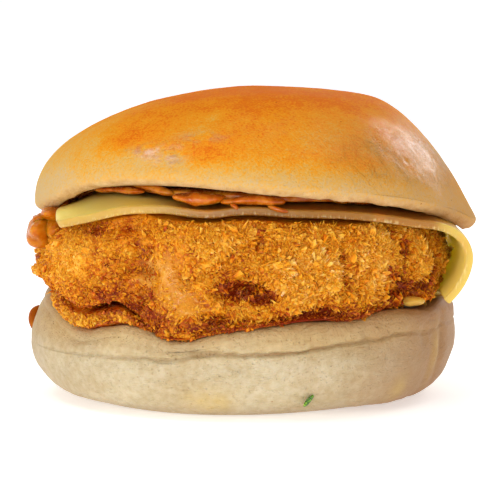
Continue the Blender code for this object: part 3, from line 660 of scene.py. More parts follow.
def makeCheese():
    rows, columns, walls = cheese["rows"], cheese["columns"], cheese["wallRows"]
    middle, normal = cheeseMiddle(rows, columns)
    middle = middle + normal * (cheese["waveDepth"] * softNoise(middle, cheese["waveSize"], 71))[..., None]
    half = cheese["thick"] / 2
    grid = np.arange(rows * columns).reshape(rows, columns)
    border = np.concatenate([grid[0, :], grid[1:, -1], grid[-1, -2::-1], grid[-2:0:-1, 0]])
    edge, edgeNormal = middle.reshape(-1, 3)[border], normal.reshape(-1, 3)[border]
    away = unit(np.cross(edgeNormal, np.roll(edge, -1, axis=0) - np.roll(edge, 1, axis=0)))
    level = np.linspace(1, -1, walls + 2)[1:-1, None, None]
    nicks = cheese["nick"] * roughNoise(edge * (1.0, 1.0, 0.2), 1.6, 72, 3)[None, :, None]
    inset = cheese["edgeRound"] * ((1 - np.abs(level) ** 3.5) ** 0.5 - 1)
    wall = edge + half * level * edgeNormal + away * (inset + cheese["wallBulge"] + nicks * (1 - level**4))
    faces = np.vstack([(middle + half * normal).reshape(-1, 3), (middle - half * normal).reshape(-1, 3)])
    for offset in (0, rows * columns):
        faces[offset + border] += away * (cheese["wallBulge"] - cheese["edgeRound"])
    points = np.vstack([faces, wall.reshape(-1, 3)])
    under, outer = rows * columns, 2 * rows * columns
    quads = np.stack([grid[:-1, :-1], grid[1:, :-1], grid[1:, 1:], grid[:-1, 1:]], 2).reshape(-1, 4)
    loops = np.vstack([border, outer + np.arange(walls * len(border)).reshape(walls, -1), under + border])
    onward = np.roll(loops, -1, axis=1)
    sides = np.stack([loops[:-1], onward[:-1], onward[1:], loops[1:]], 2).reshape(-1, 4)
    x, y, z = points.T
    sheet = np.arange(len(points)) // (rows * columns)  # 0 upper face, 1 lower face, from 2 on the walls
    lowWall = np.repeat(ease(0.3, -0.6, level[:, 0, 0]), len(border))
    inner = ease(40, 44, x) * (sheet == 1)
    lit = ease(-14, -24, x) * ease(-18, -30, y) * (sheet == 0) + inner + 0.3 * ease(43, 46, x) * (sheet > 1)
    # browner orange patches, strongest towards the front, the right and the back
    stained = ease(0.25, 0.7, softNoise(points, 5.0, 73)) * swell(bearing(points), cheese["brownerPlaces"])
    shade = 0.85 * ease(-26, -6, x) * ease(49, 42, x) * ease(-20, -34, y)
    marks = {"wall": sheet > 1, "low": np.concatenate([np.zeros(outer), lowWall]), "lit": lit, "inner": inner,
             "stained": stained, "shade": shade}
    sheets = [quads, under + quads[:, ::-1], sides]
    settle(buildMesh("cheeseSheet", points, sheets, cheeseFinish(), marks), "cheese_slice", "cheese_slice")
    folds = [lumpShell(*fold) for fold in cheese["folds"]]
    marks = {"stained": np.full(sum(rings.size // 3 + 2 for rings, _, _ in folds), 0.5)}
    settle(buildJoined("cheeseFold", folds, cheeseFinish(), marks), "cheese_slice")


# ---- crumbed cutlet

cutlet = {
    "centreX": -1.4,
    "radius": [48.8, 50.0, 47.5, 50.4, 52.6, 51.8, 49.6, 50.6],
    "square": [6.6, 6.0, 6.0, 5.0, 4.2, 7.0, 7.0, 7.0],
    "lobes": [(-122, -4.0, 5), (-83, 1.6, 12), (-152, 1.2, 9), (-60, 1.5, 7), (-47, -1.8, 4), (-24, 1.0, 6),
              (40, -2.0, 6), (75, 1.6, 10), (118, -2.2, 6), (150, 1.5, 9)],
    "middleZ": 34.0, "bed": 1.3, "leftLift": 5.4, "endLift": 1.8,
    "undercuts": [([(-68, 1.8, 12), (100, 4.0, 20)], 27.5, 22.5), ([(-164, 3.2, 18)], 32.5, 38.0),
                  ([(2, 2.6, 19)], 35.0, 29.5)],
    "rightLift": 2.0, "sink": 0.7, "lumpDepth": 2.2, "lumpSize": 16.0,
    "cragDepth": 1.9, "cragSize": 6.0, "frontCragDepth": 1.3, "frontCragSize": 3.4,
    "sides": 540, "rings": 178, "plump": 1.16, "crowd": 0.65, "frontCrowd": 1.1, "lowSquare": 1.0,
    "bulges": [(-142, 36.5, 2.8, 11, 7.5), (-159, 31.5, 1.7, 8, 3.5), (-98, 38.0, 1.2, 6, 6),
               (-74, 35.0, 2.0, 10, 8), (-52, 36.0, 1.6, 7, 8), (-30, 36.5, 1.8, 8, 7), (-84, 26.0, 1.0, 7, 3),
               (60, 35, 1.6, 12, 8), (110, 36, 1.8, 12, 7),
               (160, 34, 1.6, 10, 7), (15, 34, 1.2, 9, 8), (-119.4, 37, -1.8, 3.5, 9), (-63, 33, -1.4, 2.5, 6),
               (-41, 36, -1.6, 2.2, 7), (85, 34, -1.4, 3, 8), (135, 34, -1.4, 3, 8)],
    "bare": [(-113, 32.0, 1.0, 7, 4.5), (-106, 27.0, 0.9, 6, 3.5), (-118, 37, 0.4, 5, 4), (-110, 38, 0.3, 4, 3),
             (128, 34, 0.8, 8, 5), (-172, 35, 0.5, 4, 4)],
    "hollows": [(-91, 30.4, -3.4, 5.5, 2.2), (-84.6, 28.4, -3.0, 4.0, 1.9), (-85.6, 41.8, -1.6, 1.7, 1.9),
                (-71.5, 24.0, -3.6, 6.0, 1.9), (-43.0, 29.6, -3.2, 3.0, 3.0), (-47, 33.5, -1.6, 1.6, 3.0),
                (-119, 35.0, -1.0, 2.5, 8), (-40, 38.5, -1.4, 1.8, 3.0), (-33, 29.0, -1.8, 5, 2.0),
                (-54, 25, -1.5, 3, 1.6), (-29, 33, -1.5, 1.8, 3.4), (-64, 38, -1.3, 1.6, 2.4),
                (-98, 23.5, -1.3, 6, 1.2), (-58, 30.5, -1.3, 2.0, 1.6),
                (40, 33.0, -2.2, 4, 3), (140, 30, -2.2, 5, 3), (90, 36, -2.0, 4, 3), (70, 28, -2.2, 5, 2)],
    # dark red-brown spots; those in the hollows and under the left lobe are painted shade
    "scorched": [(-134.4, 43.5, 0.8, 3.2, 2.0), (-85.8, 41.9, 1.0, 1.4, 2.0), (-122, 25.8, 0.9, 5.0, 1.4),
                 (-115.8, 24.0, 0.9, 4, 1.3), (-30, 40.0, 0.3, 4, 2), (-40, 38.5, 0.6, 1.8, 3), (30, 38, 0.7, 4, 2),
                 (95, 40, 0.7, 3, 2), (170, 33, 0.5, 4, 2), (210, 30, 0.4, 4, 2)],
    # places drawn darker as painted shade, in recesses, low down and under the cheese
    "deep": [(-88, 30.4, 0.8, 6, 3.0), (-71, 23.6, 1.0, 8, 2.4), (-43.4, 29.6, 0.8, 4, 3),
             (-98, 22.0, 0.9, 18, 2.2), (-93.5, 35.0, 0.5, 4, 4), (-34, 28.5, 0.6, 8, 3), (-52, 26.0, 0.3, 12, 4),
             (-28, 34, 0.35, 9, 9), (-60, 22, 0.8, 14, 2.0), (-100, 47.0, 0.35, 30, 1.6), (-60, 46, 0.4, 20, 1.8),
             (-134, 29.5, 0.3, 8, 2.0), (60, 28, 0.4, 20, 4), (150, 28, 0.4, 20, 4)],
}


def pancake(sides, rings, centreX, outline, square, middle, top, bottom, crowd=0.35, frontCrowd=0.0,
            lowSquare=0.0):
    # superellipse section: out = outline * reach * sin(tilt), rise = -reach * cos(tilt), between two surfaces;
    # crowd gathers the rings on the side, frontCrowd a ring's points at the front, lowSquare sharpens the
    # lower half
    fine = np.linspace(0, 2 * math.pi, 4001)
    packed = np.concatenate([[0], np.cumsum(1 + frontCrowd * swell(fine[1:], [(-90, 1, 80)]))])
    angle = np.interp(np.linspace(0, 1, sides, endpoint=False), packed / packed[-1], fine)[None, :]
    share = np.linspace(0, 1, rings + 2)[1:-1, None]
    tilt = math.pi * (share + crowd * np.sin(2 * math.pi * share) / (2 * math.pi))
    power = square(angle) * (1 + lowSquare * (tilt < math.pi / 2))
    reach = 1 / (np.abs(np.cos(tilt)) ** power + np.abs(np.sin(tilt)) ** power) ** (1 / power)
    out, lift = outline(angle) * reach * np.sin(tilt), -reach * np.cos(tilt)
    x, y = centreX + out * np.cos(angle), out * np.sin(angle)
    level = middle(x, y)
    rise, drop = top(x, y) - level, level - bottom(x, y)
    plump = cutlet["plump"]
    away = np.where(lift > 0, np.minimum(plump * lift, 1) * rise, np.maximum(plump * lift, -1) * drop)
    return np.stack([x, y, level + away], 2)


def cutletTop(x, y):
    return cheeseLevel(x, y, -1) - gap


def cutletBottom(x, y):
    # heel's top, a thin bed that sinks into the heel's dish, and lifts towards the left end and the right
    angle = np.arctan2(y, x - heel["centreX"])
    share = np.hypot(x - heel["centreX"], y) / around(heel["radius"], angle)
    lift = cutlet["leftLift"] * ease(-20.5, -32.5, x) + cutlet["endLift"] * ease(-38, -48, x)
    lift = lift + cutlet["rightLift"] * ease(31, 40, x) - cutlet["sink"] * ease(0.78, 0.88, share)
    return heelTop(x, y) + gap + cutlet["bed"] * ease(0.96, 0.8, share) + lift


def cutletRings():
    # the slab, its undercuts, its lumps and crags, then finer crags where it isn't bare
    made = pancake(cutlet["sides"], cutlet["rings"], cutlet["centreX"],
                   lambda angle: around(cutlet["radius"], angle) + swell(angle, cutlet["lobes"]),
                   lambda angle: around(cutlet["square"], angle),
                   lambda x, y: cutlet["middleZ"] + 0 * x, cutletTop, cutletBottom,
                   cutlet["crowd"], cutlet["frontCrowd"], cutlet["lowSquare"])
    angle = bearing(made, cutlet["centreX"])
    front = ease(-112, -96, np.degrees(angle)) * ease(8, -4, np.degrees(angle))
    inward = sum(swell(angle, places) * ease(low, high, made[..., 2]) for places, low, high in cutlet["undercuts"])
    made = made - np.stack([np.cos(angle), np.sin(angle), 0 * angle], 2) * inward[..., None]
    normal = outward(made)
    # facing down: drawn darker further on, as painted shade
    under = ease(0.05, -0.8, normal[..., 2])
    side = 1 - np.abs(normal[..., 2])
    rim = 0.15 + 0.85 * side
    bare = np.clip(spots(made, cutlet["centreX"], cutlet["bare"]) + 0.35 * roughNoise(made, 4.0, 39), 0, 1)
    lumps = softNoise(made, cutlet["lumpSize"], 31) - 0.4 * (1 - side)
    lumps = cutlet["lumpDepth"] * lumps * ease(0.1, 0.5, side)
    crags = cutlet["cragDepth"] * (crag(made, cutlet["cragSize"], 32) - 0.6) * (0.2 + 0.8 * side)
    crags += cutlet["frontCragDepth"] * (crag(made, cutlet["frontCragSize"], 40) - 0.62) * side * front
    fine = 0.5 * (softNoise(made, 3.5, 33) - 0.6) * (0.3 + 0.7 * side)
    crumb = 0.9 * (crag(made, 2.6, 34) - 0.6) + 0.55 * (crag(made, 1.15, 38) - 0.6)
    crumb = (crumb + 0.22 * softNoise(made, 0.6, 41)) * rim * (1 - 0.85 * bare)
    swollen = 1.8 * roughNoise(made, 8.0, 42, 2) + 1.2 * spots(made, cutlet["centreX"], cutlet["bulges"])
    swollen = (swollen - 0.7) * side
    hollow = spots(made, cutlet["centreX"], cutlet["hollows"])
    shift = lumps + crags * (1 - 0.4 * bare) + fine + crumb + swollen + hollow * side - 0.4 * (1 - side)
    relief = np.clip(swollen + 0.5 * crags + 0.8 * hollow, -3.0, 3.0)
    # painted shade and light: valley is higher in the crumb's hollows and dips, lower on the bulges
    valley = np.clip(0.40 - 0.85 * crumb - 0.13 * relief, 0, 1)
    # painted shade in the hollows
    pit = np.clip(-0.5 * hollow - 0.25, 0, 1)
    return made + normal * shift[..., None], side, bare, valley, relief, pit, under


def crumbColour(paint, height, tone):
    # crumb colour from deep red-brown to pale gold: darker in its valleys is painted shade, paler at its tips is
    # painted light
    return paint.ramp(height + (tone - 0.5) * 0.35, (0.0, 124, 34, 2), (0.18, 187, 83, 5), (0.38, 232, 141, 18),
                      (0.6, 244, 166, 42), (0.82, 250, 186, 82), (1.0, 253, 214, 142))


def crustFinish():
    paint = Paint("friedCrust", Subsurface_Weight=0.4, Subsurface_Radius=(1.0, 0.55, 0.14),
                  Subsurface_Scale=0.003, Specular_IOR_Level=0.1, Coat_Roughness=0.18)
    valley, bare, scorched, deep, pit = map(paint.value, ("valley", "bare", "scorched", "deep", "pit"))
    fine, grit, cloud = paint.grain(0.7, 3, 0.65), paint.grain(0.3, 2), paint.grain(6, 3)
    # painted shade in the valleys, recesses and where the crust faces down; painted light on the bulges
    base = crumbColour(paint, 0.82 - 0.9 * valley + (cloud - 0.5) * 0.3 - deep * 0.35, fine)
    batter = paint.ramp(cloud * 0.6 + fine * 0.4, (0.3, 200, 122, 18), (0.5, 214, 146, 38), (0.7, 230, 184, 96))
    base = paint.blend(base, (paint.step(bare, 0.2, 0.9) * 0.85, batter),
                       # dark red-brown spots, painted shade in the hollows and under the left lobe
                       (paint.step(scorched + (fine - 0.5) * 0.5, 0.3, 0.75) * 0.85, (126, 30, 4)),
                       # painted shade in the hollows' pits
                       (paint.step(pit + (fine - 0.5) * 0.6, 0.2, 0.8) * 0.9, (132, 38, 3)))
    return paint.surface(Base_Color=base, Roughness=0.5 - 0.2 * bare + 0.1 * grit,
                         Coat_Weight=0.06 + 0.3 * bare, Normal=paint.bump((fine, 0.4, 0.8), (grit, 0.12, 0.6)))


def makeCrust():
    rings, side, bare, valley, relief, pit, under = cutletRings()
    marks = {key: np.clip(spots(rings, cutlet["centreX"], cutlet[key]), 0, 1) for key in ("scorched", "deep")}
    marks["pit"] = pit
    # painted shade: darker where the crust faces down
    marks["deep"] = np.clip(marks["deep"] + 0.75 * under, 0, 1)
    lowest = (cutlet["centreX"], 0, float(cutletBottom(cutlet["centreX"], 0)) + 0.6)
    highest = (cutlet["centreX"], 0, float(cutletTop(cutlet["centreX"], 0)) - 0.9)
    piece = buildShell("cutletCrust", rings, [lowest, highest], crustFinish(),
                       {"valley": valley, "bare": bare, **marks})
    settle(piece, "chicken_cutlet", "chicken_cutlet")
    return rings, side, bare, relief, marks


# ---- loose crumb on the cutlet and on the relish under it, as real pieces

# each kind: how many, half its length, its two other sizes over that, least and most lean, corner raggedness, how
# far out from the root its painted light (paler tip) is full, how much duller its tone is, and its random seed
crumbKeys = ["count", "half", "wide", "thick", "lean", "ragged", "reach", "duller", "seed"]
crumb = {kind: dict(zip(crumbKeys, values)) for kind, values in {
    "grains": (24000, 0.27, 0.80, 0.65, (0.0, 0.9), 0.20, 0.7, 0, 86),
    "bits": (9000, 0.42, 0.70, 0.50, (0.0, 0.9), 0.30, 1.0, 0, 84),
    "shards": (6000, 0.78, 0.46, 0.32, (0.0, 1.0), 0.50, 1.7, 0, 86),
    "slivers": (19000, 0.72, 0.26, 0.20, (0.1, 1.2), 0.30, 1.5, 0, 87),
    "chunks": (1700, 0.86, 0.62, 0.48, (0.0, 0.8), 0.46, 2.2, 0.08, 86),
    "crusts": (3600, 0.50, 0.75, 0.55, (0.0, 0.9), 0.30, 1.2, 0, 77),
}.items()}
crumbLobes = [(-68, 34, 1.0, 20, 9), (-40, 36, 1.0, 14, 9), (-88, 42, 0.6, 12, 4), (-98, 24, 0.5, 10, 2.5),
              (-26, 36, 0.7, 9, 8), (60, 35, 0.8, 18, 9), (110, 35, 0.6, 14, 8), (165, 33, 0.5, 14, 8),
              (10, 34, 0.8, 14, 9)]


def cellPlaces(grid, normal, weight, count, chance):
    # random places on a ring grid: cells drawn by area times weight, then a bilinear place in each
    def corners(field):
        onward = np.roll(field, -1, axis=1)
        return field[:-1], onward[:-1], onward[1:], field[1:]
    a, b, c, d = corners(grid)
    area = np.linalg.norm(np.cross(c - a, d - b), axis=2) / 2 * weight[:-1]
    cell = chance.choice(area.size, count, p=(area / area.sum()).ravel())
    u, v = chance.random((2, count, 1))

    def pick(field):
        p, q, r, s = (part.reshape(area.size, -1)[cell] for part in corners(field))
        return (p * (1 - u) + q * u) * (1 - v) + (s * (1 - u) + r * u) * v
    return pick(grid), unit(pick(normal)), cell


def ballShape():
    # the 12 corners and 20 faces of an icosahedron of radius 1
    g = (1 + 5**0.5) / 2
    corners = np.array([(-1, g, 0), (1, g, 0), (-1, -g, 0), (1, -g, 0), (0, -1, g), (0, 1, g), (0, -1, -g),
                        (0, 1, -g), (g, 0, -1), (g, 0, 1), (-g, 0, -1), (-g, 0, 1)]) / math.hypot(1, g)
    faces = np.array([(0, 11, 5), (0, 5, 1), (0, 1, 7), (0, 7, 10), (0, 10, 11), (1, 5, 9), (5, 11, 4),
                      (11, 10, 2), (10, 7, 6), (7, 1, 8), (3, 9, 4), (3, 4, 2), (3, 2, 6), (3, 6, 8),
                      (3, 8, 9), (4, 9, 5), (2, 4, 11), (6, 2, 10), (8, 6, 7), (9, 8, 1)])
    return corners, faces


def flakeShape(sides, layers):
    # a ball of stacked rings along X with two poles; its faces are all triangles
    rings = ballRings(sides, layers)[..., [2, 0, 1]]
    quads, fans = ringFaces(layers, sides)
    faces = np.vstack([quads[:, [0, 1, 2]], quads[:, [0, 2, 3]], fans])
    return np.vstack([rings.reshape(-1, 3), [(-1, 0, 0), (1, 0, 0)]]), faces


def scatterFlakes(name, shape, asked, places, normals, tone, chance):
    # each flake: the unit shape, roughened corner by corner, times its three sizes, turned to its own axes and
    # moved; neighbours lie roughly the same way, across a smooth noise's direction
    corners, faces = shape
    count = len(places)
    half = asked["half"] * np.exp(0.28 * np.clip(chance.normal(size=count), -2.0, 1.7))
    low, high = asked["lean"]
    lean = low + (high - low) * chance.random(count) ** 1.3
    drift = np.stack([softNoise(places, 2.6, seed) for seed in (201, 202, 203)], 1)
    tangent = unit(np.cross(normals, drift + 0.22 * chance.normal(size=(count, 3))))
    long = unit(tangent * np.cos(lean)[:, None] + normals * np.sin(lean)[:, None])
    thin = unit(np.cross(long, unit(chance.normal(size=(count, 3)) + 1.2 * np.cross(normals, tangent))))
    axes = np.stack([long, np.cross(thin, long), thin], 1)
    spread = 0.75 + 0.5 * chance.random((count, 2))
    sizes = np.stack([np.ones(count), asked["wide"] * spread[:, 0], asked["thick"] * spread[:, 1]], 1)
    rough = 1 + asked["ragged"] * np.clip(chance.normal(size=(count, len(corners), 1)), -1.6, 2.0)
    body = corners[None] * rough + 0.6 * asked["ragged"] * chance.normal(size=(count, len(corners), 3))
    rooted = places + normals * (np.sin(lean) * half * 0.55 - 0.15 * half)[:, None]
    points = rooted[:, None] + np.einsum("fvk,fkx->fvx", body * (half[:, None] * sizes)[:, None], axes)
    rise = np.einsum("fvk,fk->fv", points - places[:, None], normals)
    allFaces = (faces[None] + (np.arange(count) * len(corners))[:, None, None]).reshape(-1, 3)
    marks = {"rise": rise, "tone": np.repeat(np.clip(tone, 0, 1), len(corners))}
    finish = crumbFinish(name, asked["reach"])
    return buildMesh(name, points.reshape(-1, 3), [allFaces], finish, marks, smooth=False)


def crumbFinish(name, reach):
    paint = Paint(name, Subsurface_Weight=0.45, Subsurface_Radius=(1.0, 0.5, 0.12), Subsurface_Scale=0.002,
                  Specular_IOR_Level=0.2)
    rise, tone, fine = paint.value("rise"), paint.value("tone"), paint.grain(0.45, 2)
    # painted shade at a piece's root and painted light at its tip
    base = crumbColour(paint, 0.26 + paint.step(rise, -0.2, reach) * 0.42 + (tone - 0.5) * 0.6, fine)
    return paint.surface(Base_Color=base, Roughness=0.42 + 0.16 * fine, Normal=paint.bump((fine, 0.12, 0.8)))


def octaShape():
    # the 6 corners and 8 faces of an octahedron of radius 1
    corners = np.array([(1, 0, 0), (-1, 0, 0), (0, 1, 0), (0, -1, 0), (0, 0, 1), (0, 0, -1)], float)
    faces = np.array([(0, 2, 4), (2, 1, 4), (1, 3, 4), (3, 0, 4), (2, 0, 5), (1, 2, 5), (3, 1, 5), (0, 3, 5)])
    return corners, faces


def makeCrumb(rings, side, bare, relief, marks):
    normal = outward(rings)
    x, height, angle = rings[..., 0], rings[..., 2], bearing(rings, cutlet["centreX"])
    shown = np.maximum(ease(0.06, 0.4, side), 0.9 * ease(27, 25, height) * ease(0.0, 0.04, side))
    shown = shown * (1 + 1.2 * swell(angle, [(-90, 1, 85)])) * ease(48.6, 47.0, height)
    patches = 0.5 + 0.5 * softNoise(rings, 7.0, 84)
    clumps = 0.5 + 0.5 * softNoise(rings, 2.6, 86)
    lobes = np.clip(spots(rings, cutlet["centreX"], crumbLobes), 0, 1)
    # painted light on bulges, painted shade at the dark spots, recesses and pits, carried into the loose crumb's
    # tone
    tones = 0.6 + 0.12 * relief + 0.2 * roughNoise(rings, 5.0, 85, 3) + 0.3 * lobes * softNoise(rings, 2.0, 87)
    tones = tones - 0.6 * marks["scorched"] - 0.5 * marks["deep"] - 0.7 * marks["pit"]
    tones = tones + swell(angle, [(-145, -0.3, 20), (-90, 0.12, 24)])
    dressed = shown * (1 - 0.85 * bare) * (1 - 0.6 * ease(0.15, 0.6, marks["pit"]))
    kinds = {"grains": (octaShape(), 0.3 + patches),
             "bits": (ballShape(), 0.2 + clumps + 0.3 * lobes),
             "shards": (flakeShape(4, 4), ease(-52, -48, x) * (0.04 + lobes) * (0.15 + clumps**2)),
             "slivers": (octaShape(), (0.08 + lobes) * (0.2 + patches * clumps)),
             "chunks": (flakeShape(7, 3), (1 - bare) * ease(-51, -46, x) * (0.04 + lobes) * (0.05 + clumps**3))}
    for kind, (shape, weight) in kinds.items():
        asked = crumb[kind]
        chance = np.random.default_rng(asked["seed"])
        places, normals, cell = cellPlaces(rings, normal, dressed * weight, asked["count"], chance)
        tone = tones[:-1].ravel()[cell] - asked["duller"] + 0.10 * chance.normal(size=asked["count"])
        settle(scatterFlakes("crumb" + kind.capitalize(), shape, asked, places, normals, tone, chance),
               "chicken_cutlet")


# ---- onion relish, above the cheese and under the cutlet. A strand's heights are above the cheese's upper face.

relish = {
    "centreX": -1.2, "clearance": 0.5, "sides": 300, "rings": 70,
    "upperRadius": [44.5, 43.5, 41.5, 44.0, 45.0, 44.0, 42.6, 46.5], "upperDents": [(-138, -8.0, 15)],
    "lowerRadius": [32.0, 32.0, 33.0, 38.0, 46.0, 49.0, 35.0, 32.0], "lowerDents": [(-119, 3.6, 12)],
    "strands": [
        ([(-18.0, -42.0, 0.2), (-12.0, -44.0, 0.3), (-5.6, -43.6, 0.4)], 2.6, 1.4),
        ([(-7.0, -44.0, 0.0), (1.0, -45.2, 0.0), (8.2, -44.4, 0.0)], 2.4, 1.1),
        ([(-37.0, -24.0, 0.2), (-31.0, -29.0, 0.2), (-25.0, -34.0, 0.3)], 2.0, 0.8),
        ([(18.0, -37.0, 0.1), (24.0, -35.5, 0.1), (30.0, -31.0, 0.2)], 2.2, 0.8),
        ([(-39.0, -12.5, 0.3), (-45.0, -14.0, 0.6), (-50.0, -15.5, -2.9)], 3.4, 0.8),
        ([(4.0, -45.4, -0.6), (6.5, -46.4, -1.2), (8.8, -46.2, -1.6)], 0.7, 0.6),
        ([(-4.5, -45.6, -0.2), (-3.4, -46.4, -0.8), (-2.8, -46.6, -1.5)], 0.8, 0.6),
        ([(-36.0, -15.0, 1.8), (-31.0, -20.0, 2.0), (-25.0, -25.0, 1.8)], 1.2, 0.7),
        ([(-28.0, -30.0, 1.2), (-23.5, -34.0, 1.2), (-18.0, -38.0, 0.6)], 1.8, 1.0),
    ],
    "lumps": [((-50.3, -17.0, 41.0), (3.4, 6.4, 3.8)), ((-50.4, -16.5, 44.2), (2.4, 3.4, 1.5)),
              ((-47.4, -19.0, 46.0), (3.2, 5.0, 1.5)), ((-46.4, -18.5, 42.6), (3.0, 5.5, 3.4)),
              ((-46.0, -1.0, 48.0), (2.8, 7.0, 2.0))],
    # strands that the photo doesn't show: how many, from which direction and over how wide an arc, and how far
    # out and how long at least and at most
    "spareStrands": 34, "spareFrom": -10, "spareArc": 205, "spareOut": (41.5, 44.0), "spareHalf": (4.5, 8.5),
    "seed": 91,
}


def relishFinish(name, dark, mid, light, gloss=0.4, shine=0.2):
    paint = Paint(name, Subsurface_Weight=0.8, Subsurface_Radius=(1.0, 0.5, 0.1), Subsurface_Scale=0.003,
                  Coat_Roughness=0.06, Specular_IOR_Level=shine)
    cloud, fine = paint.grain(4, 2, 0.5), paint.grain(1.4, 2, 0.5)
    base = paint.ramp(cloud * 0.75 + fine * 0.25, (0.3, *dark), (0.5, *mid), (0.7, *light))
    return paint.surface(Base_Color=base, Roughness=0.22 + 0.1 * fine, Coat_Weight=gloss * (0.8 + 0.4 * cloud),
                         Normal=paint.bump((cloud, 0.5, 0.4), (fine, 0.10, 0.25)))


def bedRings(radius, dents, frill, top, bottom):
    # a thin slab between two surfaces with radius + swell(dents) + frill * sin(7 angle) for its outline
    return pancake(relish["sides"], relish["rings"], relish["centreX"],
                   lambda angle: around(radius, angle) + swell(angle, dents) + frill * np.sin(7 * angle),
                   lambda angle: 4 + 0 * angle, lambda x, y: (top(x, y) + bottom(x, y)) / 2, top, bottom)


def bedPoles(top, bottom):
    centre = np.array([relish["centreX"]]), np.array([0.0])
    return [(relish["centreX"], 0, bottom(*centre)[0]), (relish["centreX"], 0, top(*centre)[0])]


def strandShell(places, wide, thick, seed, sides=20, layers=44):
    # wavy flattened tube along a smooth line: size * (wide cos + thick sin), size = (1 - |2s - 1|^3)^0.5
    share = 0.5 - 0.5 * np.cos(np.linspace(0.06, math.pi - 0.06, layers))
    line = smoothLine(places, share)
    axis = unit(np.gradient(line, axis=0))
    flat = unit(np.cross((0, 0, 1), line[-1] - line[0]))
    raised = np.cross(axis, flat)
    size = np.sqrt(1 - np.abs(2 * share - 1) ** 3)[:, None, None]
    turn = turns(sides)[None, :, None]
    rings = line[:, None, :] + size * (wide * np.cos(turn) * flat + thick * np.sin(turn) * raised[:, None, :])
    swollen = 1 + 0.34 * softNoise(rings, 4.0, seed) + 0.16 * softNoise(rings, 1.6, seed + 1)
    rings = line[:, None, :] + (rings - line[:, None, :]) * swollen[..., None]
    return rings, line[0] - 0.05 * thick * axis[0], line[-1] + 0.05 * thick * axis[-1]


def lumpShell(centre, radii, seed, rough=0.16, sides=48, layers=32):
    # ellipsoid with wavy radii
    ball = ballRings(sides, layers) * radii
    ball = ball * (1 + rough * softNoise(ball + 20, 0.8 * float(np.mean(radii)), seed))[..., None]
    return ball + centre, np.array(centre) - (0, 0, radii[2]), np.array(centre) + (0, 0, radii[2])


def makeUpperRelish():
    finish = relishFinish("onionRelish", (130, 54, 2), (182, 94, 8), (214, 140, 38))
    top = lambda x, y: crownUnder(x, y) - gap
    bottom = lambda x, y: cheeseLevel(x, y, 1) + relish["clearance"]
    rings = bedRings(relish["upperRadius"], relish["upperDents"], 1.2, top, bottom)
    side = 1 - np.abs(outward(rings)[..., 2])
    rings = rings + outward(rings) * (0.9 * roughNoise(rings, 5.0, 92) * ease(0.05, 0.5, side))[..., None]
    bed = buildShell("relishBed", rings, bedPoles(top, bottom), finish)
    settle(bed, "relish_top", "relish_top")

    chance = np.random.default_rng(relish["seed"])
    strands = list(relish["strands"])
    (near, far), (short, long) = relish["spareOut"], relish["spareHalf"]
    for index in range(relish["spareStrands"]):
        share = (index + chance.random()) / relish["spareStrands"]
        way = math.radians(relish["spareFrom"] + relish["spareArc"] * share)
        out, turn = near + (far - near) * chance.random(), 0.5 * chance.normal()
        length = short + (long - short) * chance.random()
        middle = np.array([relish["centreX"] + out * math.cos(way), out * math.sin(way)])
        heading = np.array([-math.sin(way + turn), math.cos(way + turn)]) * length
        bend = 0.25 * np.array([math.cos(way), math.sin(way)]) * length
        line = [(*(middle - heading - bend), 0.3), (*middle, 0.4 * chance.random()),
                (*(middle + heading - bend), 0.3)]
        strands.append((line, 1.5 + chance.random(), 0.7 + 0.5 * chance.random()))
    shells = []
    for index, (line, wide, thick) in enumerate(strands):
        line = np.array(line)
        level = cheeseLevel(line[:, 0], line[:, 1], 1) + gap + thick + line[:, 2]
        raised = [(x, y, z) for (x, y, _), z in zip(line, level)]
        shells.append(strandShell(raised, wide, thick, 100 + 3 * index))
    settle(buildJoined("onionStrands", shells, finish), "relish_top")
    glazed = relishFinish("hangingRelish", (140, 62, 4), (184, 104, 10), (200, 128, 26), 0.12, 0.1)
    shells = [lumpShell(*lump, 95, 0.34) for lump in relish["lumps"]]
    settle(buildJoined("hangingLobe", shells, glazed), "relish_top")


def makeLowerRelish():
    finish = relishFinish("underRelish", (130, 36, 4), (190, 84, 12), (226, 134, 32))
    top = lambda x, y: cutletBottom(x, y) - gap
    bottom = lambda x, y: heelTop(x, y) - cutlet["sink"]
    rings = bedRings(relish["lowerRadius"], relish["lowerDents"], 0.8, top, bottom)
    side = 1 - np.abs(outward(rings)[..., 2])
    rough = 1.6 * (crag(rings, 4.6, 93) - 0.55) + 0.5 * (crag(rings, 1.4, 99) - 0.6) + roughNoise(rings, 5.0, 94)
    rings = rings + outward(rings) * (rough * ease(0.05, 0.5, side))[..., None]
    settle(buildShell("relishUnder", rings, bedPoles(top, bottom), finish), "relish_bottom", "relish_bottom")
    asked = crumb["crusts"]
    chance = np.random.default_rng(asked["seed"])
    where = swell(bearing(rings, relish["centreX"]), [(-136, 1, 30), (170, 0.5, 30)])
    weight = ease(0.1, 0.5, side) * where * (0.6 + 0.4 * softNoise(rings, 4.0, 100))
    places, normals, _ = cellPlaces(rings, outward(rings), np.maximum(weight, 0), asked["count"], chance)
    tone = 0.24 + 0.34 * softNoise(places, 3.6, 101) + 0.14 * chance.normal(size=asked["count"])
    settle(scatterFlakes("crumbCrusts", ballShape(), asked, places, normals, tone, chance), "relish_bottom")


# ---- what lies on the heel: a drop of sauce and a fleck of herb

garnish = {
    "drop": ((-53.3, 3.0, 17.8), (2.4, 4.8, 3.4)),
    "herb": [(12.5, -46.2, 3.2), (13.5, -46.9, 4.6), (14.7, -47.2, 6.1)],
}


